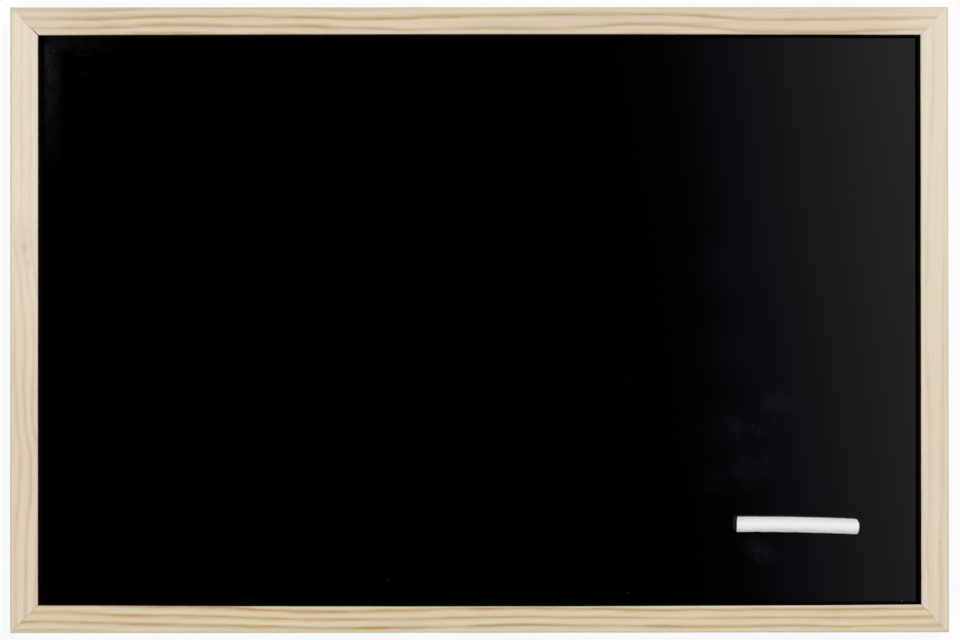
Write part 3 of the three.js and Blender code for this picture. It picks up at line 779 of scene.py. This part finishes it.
# Every mark fades from its middle to its radius. These also have a ragged outline, for the place is shaken
# before it is measured, and a mottle goes through them
ragged = add(tree, "TexNoise", {"Vector": place, "Scale": 0.12, "Detail": 5.0, "Roughness": 0.65})
flat = add(tree, "CombineXYZ", {"X": x, "Y": y})
shaken = add(tree, "VectorMath", {0: ragged.outputs["Color"], 1: (-0.5, -0.5, 0)}, operation="ADD")
shaken = add(tree, "VectorMath", {0: shaken, 1: (18, 18, 0), 2: flat}, operation="MULTIPLY_ADD")
mottle = add(tree, "TexNoise", {"Vector": place, "Scale": 0.3, "Detail": 7.0, "Roughness": 0.7})
mottle = add(tree, "MapRange", {
    "Value": mottle, "From Min": 0.35, "From Max": 0.65, "To Min": 0.5, "To Max": 1.0,
})
wiped = 0.0
for spot_x, spot_y, radius, strength in WIPES:
    away = add(tree, "VectorMath", {0: shaken, 1: (spot_x, spot_y, 0)}, operation="DISTANCE").outputs["Value"]
    mark = add(tree, "MapRange", {
        "Value": away, "From Max": radius, "To Min": strength, "To Max": 0.0,
    }, interpolation_type="SMOOTHSTEP")
    wiped = add(tree, "Math", {0: wiped, 1: mark}, operation="ADD")
wiped = add(tree, "Math", {0: wiped, 1: mottle}, operation="MULTIPLY")

# %% Black lacquered hardboard: grains and scratches
dirt = 0.0
for spot_x, spot_y, radius, strength in GRAINS:
    away = add(tree, "VectorMath", {0: flat, 1: (spot_x, spot_y, 0)}, operation="DISTANCE").outputs["Value"]
    mark = add(tree, "MapRange", {
        "Value": away, "From Min": 0.3 * radius, "From Max": radius, "To Min": strength, "To Max": 0.0,
    })
    dirt = add(tree, "Math", {0: dirt, 1: mark}, operation="ADD")

# A scratch is all that lies within about 0.2 mm of a line: the place less its nearest place on the line
for start_x, start_y, end_x, end_y, strength in SCRATCHES:
    run = np.array([end_x - start_x, end_y - start_y, 0.0])
    offset = add(tree, "VectorMath", {0: flat, 1: (start_x, start_y, 0)}, operation="SUBTRACT")
    reach = add(tree, "VectorMath", {
        0: offset, 1: tuple(run / (run @ run)),
    }, operation="DOT_PRODUCT").outputs["Value"]
    reach = add(tree, "Math", {0: reach, 1: 0.0}, operation="ADD", use_clamp=True)
    nearest = add(tree, "VectorMath", {0: tuple(run), "Scale": reach}, operation="SCALE")
    gap = add(tree, "VectorMath", {0: offset, 1: nearest}, operation="DISTANCE").outputs["Value"]
    mark = add(tree, "MapRange", {
        "Value": gap, "From Min": 0.08, "From Max": 0.28, "To Min": strength, "To Max": 0.0,
    })
    dirt = add(tree, "Math", {0: dirt, 1: mark}, operation="ADD")

# %% Black lacquered hardboard: haze
# The haze runs down the left edge for 90 mm and along the top for 60 mm, and is thickest in the corner, where
# this much of its grey shows
HAZE = 0.019
streaky = add(tree, "Mapping", {"Vector": place, "Scale": (1 / 5, 1 / 9, 0)})
streaky = add(tree, "TexNoise", {"Vector": streaky, "Scale": 1.0, "Detail": 6.0, "Roughness": 0.65})
streaky = add(tree, "MapRange", {
    "Value": streaky, "From Min": 0.3, "From Max": 0.62, "To Min": 0.25, "To Max": 1.0,
})
down = add(tree, "Math", {
    0: add(tree, "MapRange", {"Value": x, "From Min": -278, "From Max": -267, "To Min": 1.0, "To Max": 0.0}),
    1: add(tree, "MapRange", {"Value": y, "From Min": 92, "From Max": 172}),
}, operation="MULTIPLY")
over = add(tree, "Math", {
    0: add(tree, "MapRange", {"Value": y, "From Min": 171, "From Max": 180}),
    1: add(tree, "MapRange", {"Value": x, "From Min": -276, "From Max": -225, "To Min": 0.9, "To Max": 0.0}),
}, operation="MULTIPLY")
haze = add(tree, "Math", {0: down, 1: over}, operation="MAXIMUM")
haze = add(tree, "Math", {0: haze, 1: streaky}, operation="MULTIPLY")
# The haze fades out within 3 mm of the left wall: a painted shadow of the rail
outside_rail_shadow = add(tree, "MapRange", {"Value": x, "From Min": -281, "From Max": -279})
haze = add(tree, "Math", {0: haze, 1: outside_rail_shadow}, operation="MULTIPLY")
dirt = add(tree, "Math", {0: haze, 1: HAZE, 2: dirt}, operation="MULTIPLY_ADD")

# Dust and haze are a warm grey. What a finger has wiped looks bluer, for it is a film of finer powder
black = add(tree, "Mix", {"Factor": dirt, "A": linear("#000001"), "B": linear("#DCDAD4")}, data_type="RGBA")
black = add(tree, "Mix", {"Factor": wiped, "A": black, "B": linear("#B2C4E2")}, data_type="RGBA")

# %% Black lacquered hardboard: face and back
# The wire screen: a square weave, the sine of x times that of y, printed here every 1.4 mm so that it shows
SCREEN_STEP = 1.4
waves = [add(tree, "Math", {0: way, 1: 2 * math.pi / SCREEN_STEP}, operation="MULTIPLY") for way in (x, y)]
waves = [add(tree, "Math", {0: wave}, operation="SINE") for wave in waves]
weave = add(tree, "Math", {0: waves[0], 1: waves[1]}, operation="MULTIPLY")
pulp = add(tree, "TexNoise", {"Vector": place, "Scale": 0.9, "Detail": 6.0, "Roughness": 0.7})
brown = add(tree, "Mix", {"Factor": pulp, "A": linear("#6E4D30"), "B": linear("#A07A50")}, data_type="RGBA")
hollow = add(tree, "MapRange", {
    "Value": weave, "From Min": -1.0, "From Max": 1.0, "To Min": 0.0, "To Max": 0.25,
})
brown = add(tree, "Mix", {"Factor": hollow, "A": brown, "B": linear("#5A3E26")}, data_type="RGBA")
colour = add(tree, "Mix", {"Factor": is_face, "A": brown, "B": black}, data_type="RGBA")
connect(tree, colour, shader.inputs["Base Color"])
gloss = add(tree, "Math", {0: dirt, 1: wiped}, operation="ADD")
gloss = add(tree, "Math", {0: gloss, 1: DULLED, 2: LACQUER_BLUR}, operation="MULTIPLY_ADD")
gloss = add(tree, "Mix", {"Factor": is_face, "A": 0.85, "B": gloss}, data_type="FLOAT")
connect(tree, gloss, shader.inputs["Roughness"])
height = add(tree, "Math", {0: weave, 1: 0.5, 2: pulp}, operation="MULTIPLY_ADD")
height = add(tree, "Mix", {"Factor": is_face, "A": height, "B": 0.0}, data_type="FLOAT")
bump = add(tree, "Bump", {"Height": height, "Strength": 0.5, "Distance": 0.15 * MM})
connect(tree, bump, shader.inputs["Normal"])
print(f"{lacquered.name}: {len(tree.nodes)} nodes")

# %% Writing sheet
panel_middle = (panel_low + panel_high) / 2
panel_half = (panel_high - panel_low) / 2
sheet_outline = rounded(
    [
        (-panel_half[1], -panel_half[2]), (panel_half[1], -panel_half[2]), (panel_half[1], panel_half[2]),
        (-panel_half[1], panel_half[2]),
    ],
    [0.15, 0.15, 0.3, 0.3], steps=3,
)
sheet_outline = refined(sheet_outline, 4.0)


def sheet_grid():
    """The sheet's outline, seen from its end, at 141 places along X. Its face is as flat as pressed board is:
    it swells and sinks by a few hundredths of a millimetre over a hand's breadth."""
    x = np.linspace(-panel_half[0], panel_half[0], 141)[:, None]
    y, z = sheet_outline[None, :, 0] + 0 * x, sheet_outline[None, :, 1] + 0 * x
    inner = np.clip((panel_half[0] - np.abs(x)) / 20, 0, 1) * np.clip((panel_half[1] - np.abs(y)) / 20, 0, 1)
    z = z + 0.03 * inner * (uneven(x / 70, y / 70, 12) - 1)
    return np.stack([x + 0 * y, y, z], axis=-1) + panel_middle


make_piece(
    "writing_sheet", make_mesh("writing_sheet", [sheet_grid()]), lacquered, BOARD, ["writing_panel"],
)

# %% [markdown]
# ## The stick of chalk
#
# A pressed stick, matt and very white, slightly bowed, and worn rounder on one side of its right end, where
# it has been drawing. A cylinder with a bevel would have the same edge all round, so the surface is worked
# out as a grid instead: one row for each place along the stick and one column for each direction round it.

# %% Chalk finish
chalk_finish, tree, shader = new_finish("pressed_white_chalk", "#EDECEA", 0.95)
place = in_mm(tree)
grain = add(tree, "TexNoise", {"Vector": place, "Scale": 2.2, "Detail": 6.0, "Roughness": 0.7})
pits = add(tree, "TexVoronoi", {"Vector": place, "Scale": 1.1}, feature="F1")
pits = add(tree, "MapRange", {"Value": pits.outputs["Distance"], "From Min": 0.08, "From Max": 0.22})
powder = add(tree, "Mix", {"Factor": grain, "A": linear("#E8E6E4"), "B": linear("#F9F7F3")}, data_type="RGBA")
# The pits are coloured a darker grey: painted shade in them
powder = add(tree, "Mix", {"Factor": pits, "A": linear("#D9D8D6"), "B": powder}, data_type="RGBA")
connect(tree, powder, shader.inputs["Base Color"])
height = add(tree, "Math", {0: pits, 1: 0.5, 2: grain}, operation="MULTIPLY_ADD")
bump = add(tree, "Bump", {"Height": height, "Strength": 0.5, "Distance": 0.1 * MM})
connect(tree, bump, shader.inputs["Normal"])
print(f"{chalk_finish.name}: {len(tree.nodes)} nodes")

# %% Chalk
chalk_low, chalk_high = box_mm("chalk_stick")
# Half the stick's length, its radius, how far it bows, and its turn on the sheet
CHALK_HALF, CHALK_RADIUS, CHALK_BOW, CHALK_TURN = 39.12, 4.92, 0.5, math.radians(-1.16)
# How far the right end slants over the stick's width, how far the left end leans in and stands out, and how
# much of the stick each of these takes
SLANT, LEAN, STAND_OUT, END_PART = 0.95, 1.6, 0.8, 8.0
# The place of its middle, so low that the uneven underside touches the sheet at several places along it
CHALK_PLACE = (203.68, -131.81, chalk_high[2] - CHALK_RADIUS - 0.04)


def chalk_grid():
    """A round section at 223 places. At each end, going round the section, the radius of a quarter circle
    changes: the section's radius and place follow that quarter circle, then the slightly crowned end face
    runs in to the middle. The right end is cut at a slant, and its far upper side is worn. The left end leans
    in towards its foot. A shallow notch, 12 mm from it, breaks the near side. The stick bows as a parabola
    does, is turned on the sheet, and is pitted all over by a few hundredths of a millimetre."""
    angle = np.linspace(0, 2 * np.pi, 72, endpoint=False)[None, :]
    left = 0.5 + 0.2 * np.cos(angle)
    right = 0.65 + 2.2 * np.clip(np.cos(angle - 0.2), 0, 1) ** 2
    inward = np.linspace(0.01, 1, 12)[:-1, None]
    turn = np.linspace(np.pi / 2, 0, 14)[:, None]
    level = np.linspace(0, 1, 175)[1:-1, None]

    def end(corner):
        """Distances in from an end and radii, from the middle of the end face to the start of the side."""
        reach = np.vstack([0.12 * inward**2 + 0 * corner, 0.12 + corner * (1 - np.sin(turn))])
        radius = np.vstack([inward * (CHALK_RADIUS - corner), CHALK_RADIUS - corner * (1 - np.cos(turn))])
        return reach, radius

    (left_in, left_r), (right_in, right_r) = end(left), end(right)
    left_x, right_x = -CHALK_HALF + left_in, CHALK_HALF - right_in
    middle_x = left_x[-1:] + level * (right_x[-1:] - left_x[-1:])
    x = np.vstack([left_x, middle_x, right_x[::-1]])
    r = np.vstack([left_r, CHALK_RADIUS + 0 * middle_x, right_r[::-1]])
    side = r * np.cos(angle)
    near = (1 - side / CHALK_RADIUS) / 2
    x = x - SLANT * near * np.clip((x - CHALK_HALF + END_PART) / END_PART, 0, 1)
    foot = (1 - r * np.sin(angle) / CHALK_RADIUS) / 2
    x = x + (LEAN * foot - STAND_OUT) * np.clip((-x - CHALK_HALF + END_PART) / END_PART, 0, 1)
    notch = 0.3 * np.exp(-(((x + 26.7) / 1.8) ** 2) - ((angle - np.pi) / 0.45) ** 2)
    worn = 0.035 * (uneven(x / 1.6, angle * 3, 21) - 0.8) + 0.05 * (uneven(x / 9, angle * 1.5, 22) - 1)
    r = np.maximum(r + (worn - notch) * np.clip(r / CHALK_RADIUS, 0, 1) ** 2, 0.01)
    side, up = r * np.cos(angle), r * np.sin(angle)
    y = side + CHALK_BOW * (1 - (x / CHALK_HALF) ** 2)
    spot_x = x * math.cos(CHALK_TURN) - y * math.sin(CHALK_TURN)
    spot_y = x * math.sin(CHALK_TURN) + y * math.cos(CHALK_TURN)
    return np.stack([spot_x, spot_y, up], axis=-1) + np.array(CHALK_PLACE)


chalk = chalk_grid()
print("solid:", chalk_low.round(2), chalk_high.round(2))
print("shape:", chalk.reshape(-1, 3).min(0).round(2), chalk.reshape(-1, 3).max(0).round(2))
make_piece(
    "white_chalk", make_mesh("white_chalk", [chalk]), chalk_finish, "chalk", ["chalk_stick"],
    sharp=60,
)

# %% [markdown]
# ## Zinc-plated steel
#
# The nails, points, hangers and screws are bright zinc plate: a pale grey metal, blurred a little by the
# plating and by rubbing against other hardware in the box.

# %% Zinc-plated steel
zinc, tree, shader = new_finish("bright_zinc_plate", "#C4C8CC", 0.3, metallic=1.0)
place = in_mm(tree)
cloud = add(tree, "TexNoise", {"Vector": place, "Scale": 0.8, "Detail": 5.0, "Roughness": 0.65})
blur = add(tree, "MapRange", {
    "Value": cloud, "From Min": 0.3, "From Max": 0.7, "To Min": 0.22, "To Max": 0.42,
})
connect(tree, blur, shader.inputs["Roughness"])
tint = add(tree, "Mix", {"Factor": cloud, "A": linear("#B4B9BF"), "B": linear("#D6D8DA")}, data_type="RGBA")
connect(tree, tint, shader.inputs["Base Color"])
print(f"{zinc.name}: {len(tree.nodes)} nodes")

# The points and nails keep their measured solids, which have the right shape, and only get the finish
small = [solid for name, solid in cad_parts.items() if name.startswith(("panel_point_", "mitre_nail_"))]
for solid in small:
    solid.data.materials.clear()
    solid.data.materials.append(zinc)
print("zinc-plated solids:", len(small))

# %% [markdown]
# ## Hangers
#
# A strap of thin steel is curled round the straight bar of a D-shaped ring and screwed to the back of the
# stile. The strap is a thin rounded section carried along the side view of its bend, and its width follows a
# half circle at the tail. The ring is a round section carried along the D. The screw is an outline turned
# round its own line, with the cross pressed into its head and a thread raised on its shank.

# %% Strap
# Half the strap's width and its thickness, the radius of the ring's wire and the height of its bar over the
# wood, and how far from the bar the screw and the end of the strap's tail are
STRAP_HALF, STRAP_THICK = 3.5, 0.6
WIRE_RADIUS, BAR_HEIGHT = 0.8, 1.6
SCREW_Y, TAIL_Y = -12.5, -18.0


def strap_grid():
    """The strap's section, a flat rounded one, along the line of its bend: straight from the tail to below
    the bar, then a curl of 290 degrees round it. The half width near the tail is that of a half circle."""
    arc = np.linspace(0.06, np.pi / 2, 14)
    tail_y = TAIL_Y + STRAP_HALF * (1 - np.cos(arc))
    straight = np.linspace(TAIL_Y + STRAP_HALF, 0, 12)[1:]
    curl = np.radians(np.linspace(-90, 200, 40))[1:]
    middle = BAR_HEIGHT - STRAP_THICK / 2
    y = np.concatenate([tail_y, straight, middle * np.cos(curl)])
    z = np.concatenate([
        np.full(len(tail_y) + len(straight), STRAP_THICK / 2), BAR_HEIGHT + middle * np.sin(curl),
    ])
    width = np.concatenate([STRAP_HALF * np.sin(arc), np.full(len(straight) + len(curl), STRAP_HALF)])
    edge = 0.14
    unit = rounded([(-1, -1), (1, -1), (1, 1), (-1, 1)], [0.4] * 4, steps=4)
    thick = STRAP_THICK / 2
    corner = np.sign(unit) * np.clip(np.abs(unit) - 0.6, 0, 0.4) / 0.4 * edge
    inner = np.stack([width - edge, np.full_like(width, thick - edge)], axis=1)
    inner = np.maximum(inner, 0.01)
    sections = corner[None] + np.sign(unit)[None] * inner[:, None]
    path = np.stack([0 * y, y, z], axis=1)
    return carried(path, sections[..., ::-1], (1, 0, 0))


# %% Ring
def ring_grid():
    """A round section along the D of the ring: half of the bar, a tight corner, a short side, a half circle,
    and the same back to the bar's middle, where the ends of the wire meet."""
    reach, corner, side = 4.7, 1.2, 2.0
    bar = reach - corner
    turn = np.linspace(0, np.pi / 2, 10)
    bow = np.linspace(0, np.pi, 40)
    x = np.concatenate([np.linspace(0.05, bar, 8)[:-1], bar + corner * np.sin(turn), reach * np.cos(bow)])
    y = np.concatenate([np.zeros(7), corner - corner * np.cos(turn), corner + side + reach * np.sin(bow)])
    back_x = np.concatenate([-bar - corner * np.cos(turn), np.linspace(-bar, -0.05, 8)[1:]])
    back_y = np.concatenate([corner - corner * np.sin(turn), np.zeros(7)])
    path = np.stack([np.concatenate([x, back_x]), np.concatenate([y, back_y])], axis=1)
    path = np.hstack([path, np.full((len(path), 1), BAR_HEIGHT)])
    angle = np.linspace(0, 2 * np.pi, 20, endpoint=False)
    section = WIRE_RADIUS * np.stack([np.cos(angle), np.sin(angle)], axis=1)
    return carried(path, np.broadcast_to(section, (len(path), len(section), 2)), (0, 0, 1))


# %% Screw
SHANK_RADIUS, SHANK_LENGTH, TAPER = 1.05, 10.0, 3.0
CROSS_DEPTH, THREAD = 0.9, 0.3


def screw_grid():
    """A pan head and its threaded shank, turned round Z. The head's top is flat, and its edge is a quarter of
    an ellipse. The cross in the head is pressed in: points inside two crossed bars go down by its depth. The
    thread lifts the shank's radius once in each 1 mm of height, and the shank tapers to a point."""
    turn = np.linspace(0.1, np.pi / 2, 9)
    head_r = np.concatenate([np.linspace(0.02, 1.5, 22), 1.5 + 1.2 * np.sin(turn), [2.7, 2.55]])
    head_z = np.concatenate([np.full(22, 1.7), 0.6 + 1.1 * np.cos(turn), [0.1, 0.0]])
    shank_z = np.linspace(-0.05, -SHANK_LENGTH, 120)
    shank_r = np.interp(
        shank_z, [-SHANK_LENGTH, TAPER - SHANK_LENGTH, -0.05], [0.03, SHANK_RADIUS, SHANK_RADIUS],
    )
    radius, height = np.concatenate([head_r, shank_r]), np.concatenate([head_z, shank_z])
    grid = turned(radius, height, 96)
    x, y, z = grid[..., 0], grid[..., 1], grid[..., 2]
    along, across = np.maximum(np.abs(x), np.abs(y)), np.minimum(np.abs(x), np.abs(y))
    pressed = np.clip((1.55 - along) / 0.15, 0, 1) * np.clip((0.5 - across) / 0.12, 0, 1)
    grid[..., 2] = z - pressed * (z > 1.2) * CROSS_DEPTH
    angle = np.arctan2(y, x)
    ridge = 1 - 2 * np.abs((z + angle / (2 * np.pi)) % 1.0 - 0.5)
    lift = np.where(z < -0.6, THREAD * np.clip(2.4 * ridge - 1.3, 0, 1), 0)
    lift = lift * np.clip((z + SHANK_LENGTH) / TAPER, 0, 1)
    grid[..., :2] *= (1 + lift / np.maximum(np.hypot(x, y), 0.03))[..., None]
    grid[..., 2] += STRAP_THICK + 0.1
    grid[..., 1] += SCREW_Y
    return grid


# %% Hangers
ring_low, ring_high = box_mm("right_hanger_ring")
BAR_X = (ring_low[0] + ring_high[0]) / 2
BAR_Y = ring_low[1] + WIRE_RADIUS


def on_back(grid, x):
    """Turns a hanger's own coordinates, with Z away from the wood, to the back of the stile at X."""
    return np.stack([x - grid[..., 0], BAR_Y + grid[..., 1], BACK_Z - 0.1 - grid[..., 2]], axis=-1)


for hand, x in (("left", -BAR_X), ("right", BAR_X)):
    parts = (
        ("strap", strap_grid(), BOARD), ("ring", ring_grid(), f"{hand}_ring"), ("screw", screw_grid(), BOARD),
    )
    for part, grid, body in parts:
        mesh = make_mesh(f"{hand}_zinc_{part}", [on_back(grid, x)])
        make_piece(f"{hand}_zinc_{part}", mesh, zinc, body, [f"{hand}_hanger_{part}"])

# %% [markdown]
# ## Bumpers
#
# Four self-adhesive rubber feet keep the board off the wall or the desk. They are turned, with a soft edge
# and a slight dish in the face. Moulded rubber is matt and even, with a fine speckle of its filler.

# %% Moulded rubber
rubber, tree, shader = new_finish("grey_moulded_rubber", "#3B3B3E", 0.7)
place = in_mm(tree)
speckle = add(tree, "TexNoise", {"Vector": place, "Scale": 3.0, "Detail": 4.0})
tint = add(tree, "Mix", {"Factor": speckle, "A": linear("#333336"), "B": linear("#444448")}, data_type="RGBA")
connect(tree, tint, shader.inputs["Base Color"])
bump = add(tree, "Bump", {"Height": speckle, "Strength": 0.3, "Distance": 0.05 * MM})
connect(tree, bump, shader.inputs["Normal"])
print(f"{rubber.name}: {len(tree.nodes)} nodes")

# %% Bumpers
# The outline, out from the middle and up: the dished face, its rounded edge, the side and the back
edge = np.linspace(0, np.pi / 2, 8)
bumper_r = np.concatenate([[0.05, 1.5, 3.0], 4.2 + 0.8 * np.sin(edge), [5.0, 4.95, 0.05]])
bumper_z = np.concatenate([[0.12, 0.1, 0.04], 0.8 - 0.8 * np.cos(edge), [3.3, 3.5, 3.5]])
for corner in ("bottom_left", "bottom_right", "top_left", "top_right"):
    low, high = box_mm(f"bumper_{corner}")
    grid = turned(bumper_r, bumper_z, 48) + np.array([(low[0] + high[0]) / 2, (low[1] + high[1]) / 2, low[2]])
    mesh = make_mesh(f"{corner}_rubber_bumper", [grid])
    make_piece(f"{corner}_rubber_bumper", mesh, rubber, BOARD, [f"bumper_{corner}"])

# %% [markdown]
# ## Floor, world and lamps
#
# The board lies on a plain white floor. Seen by the camera and in reflections the floor and the far surround
# are close to white, more so with distance, while the surround overhead is dark, as the ceiling of a studio
# is. That dark ceiling is what the black lacquer mirrors to a camera above it. A dim window up and to the
# right, which is part of the surround, gives the lacquer the soft sheen that it has there. Only seen and
# mirrored rays meet all this: the light that the surround throws on the board is even and weak, and two large
# lamps light the pine from both sides. Under the board the floor isn't made white, so its shadow shows.

# %% Floor
def seen_rays(tree):
    """1 for a ray from the camera, a mirror or glass, and 0 for one that only carries light."""
    rays = add(tree, "LightPath").outputs
    seen = add(tree, "Math", {0: rays["Is Camera Ray"], 1: rays["Is Glossy Ray"]}, operation="MAXIMUM")
    return add(tree, "Math", {0: seen, 1: rays["Is Transmission Ray"]}, operation="MAXIMUM")


floor_finish = bpy.data.materials.new("white_studio_floor")
floor_finish.use_nodes = True
tree = floor_finish.node_tree
tree.nodes.clear()
matte = add(tree, "BsdfDiffuse", {"Color": (0.9, 0.9, 0.9, 1)})
white = add(tree, "Emission", {"Color": (1, 1, 1, 1), "Strength": 1.0})
place = add(tree, "TexCoord").outputs["Object"]
far = add(tree, "VectorMath", {0: place}, operation="LENGTH").outputs["Value"]
share = add(tree, "MapRange", {"Value": far, "From Min": 0.6, "From Max": 3.0, "To Min": 0.88, "To Max": 1.0})
share = add(tree, "Math", {0: seen_rays(tree), 1: share}, operation="MULTIPLY")

# How far a place is outside the board's edge, in metres, and then 0 under the board and 1 outside it
outside = add(tree, "VectorMath", {0: place}, operation="ABSOLUTE")
outside = add(tree, "VectorMath", {
    0: outside, 1: (HALF_WIDTH * MM, HALF_HEIGHT * MM, 0),
}, operation="SUBTRACT")
outside = add(tree, "SeparateXYZ", {"Vector": outside}).outputs
outside = add(tree, "Math", {0: outside[0], 1: outside[1]}, operation="MAXIMUM")
outside = add(tree, "MapRange", {"Value": outside, "From Min": -0.003, "From Max": 0.003})
share = add(tree, "Math", {0: share, 1: outside}, operation="MULTIPLY")
floor_shader = add(tree, "MixShader", {0: share, 1: matte, 2: white})
connect(tree, floor_shader, add(tree, "OutputMaterial").inputs["Surface"])
print(f"{floor_finish.name}: {len(tree.nodes)} nodes")

reach = 6.0
floor_mesh = bpy.data.meshes.new("studio_floor")
corners = [(-reach, -reach, 0), (reach, -reach, 0), (reach, reach, 0), (-reach, reach, 0)]
floor_mesh.from_pydata(corners, [], [(0, 1, 2, 3)])
floor_mesh.materials.append(floor_finish)
floor = bpy.data.objects.new("studio_floor", floor_mesh)
bpy.context.scene.collection.objects.link(floor)

# %% World
world = bpy.data.worlds.new("studio_surround")
bpy.context.scene.world = world
world.use_nodes = True
tree = world.node_tree
tree.nodes.clear()
east, north, height = add(tree, "SeparateXYZ", {"Vector": add(tree, "TexCoord").outputs["Generated"]}).outputs
surround = add(tree, "MapRange", {
    "Value": height, "From Min": 0.25, "From Max": 0.85, "To Min": 1.0, "To Max": 0.0,
}, interpolation_type="SMOOTHSTEP")

# The window brightens evenly with the slope to the east, and a little to the north: that is how far a place
# on a level ceiling is from straight overhead
slope = add(tree, "Math", {0: north, 1: 0.15, 2: east}, operation="MULTIPLY_ADD")
above = add(tree, "Math", {0: height, 1: 0.05}, operation="MAXIMUM")
slope = add(tree, "Math", {0: slope, 1: above}, operation="DIVIDE")
window = add(tree, "MapRange", {"Value": slope, "From Min": 0.125, "From Max": 0.377})

# Where it is weakest the window looks a little blue, as a sky does; the white surround has no tint
bluish = add(tree, "Math", {0: window, 1: -2.5, 2: 1.0}, operation="MULTIPLY_ADD", use_clamp=True)
not_white = add(tree, "Math", {0: 1.0, 1: surround}, operation="SUBTRACT")
bluish = add(tree, "Math", {0: bluish, 1: not_white}, operation="MULTIPLY")
tint = add(tree, "Mix", {"Factor": bluish, "A": (1, 1, 1, 1), "B": linear("#CFE0FF")}, data_type="RGBA")
surround = add(tree, "Math", {0: surround, 1: window}, operation="MAXIMUM")
# How strong the even light is that the surround throws on the board
AROUND = 0.28
strength = add(tree, "Mix", {"Factor": seen_rays(tree), "A": AROUND, "B": surround}, data_type="FLOAT")
background = add(tree, "Background", {"Color": tint, "Strength": strength})
connect(tree, background, add(tree, "OutputWorld").inputs["Surface"])
print(f"{world.name}: {len(tree.nodes)} nodes")


# %% Lamps
def area_lamp(name, place, width, height, watts):
    """A rectangular lamp at a place in metres, facing the middle of the board."""
    data = bpy.data.lights.new(name, "AREA")
    data.shape = "RECTANGLE"
    data.size, data.size_y, data.energy = width, height, watts
    lamp = bpy.data.objects.new(name, data)
    lamp.location = place
    direction = -np.array(place)
    yaw = math.atan2(direction[1], direction[0])
    pitch = math.atan2(math.hypot(direction[0], direction[1]), -direction[2])
    lamp.rotation_euler = (0, -pitch, yaw)
    bpy.context.scene.collection.objects.link(lamp)
    print(f"{name}: {watts} W at {place} m")


area_lamp("right_softbox", (1.6, 2.1, 2.3), 1.6, 1.6, 78)
area_lamp("left_softbox", (-1.6, -2.1, 2.3), 1.6, 1.6, 62)

# Colours are shown as they are, with none of a film's curve
bpy.context.scene.view_settings.view_transform = "Standard"
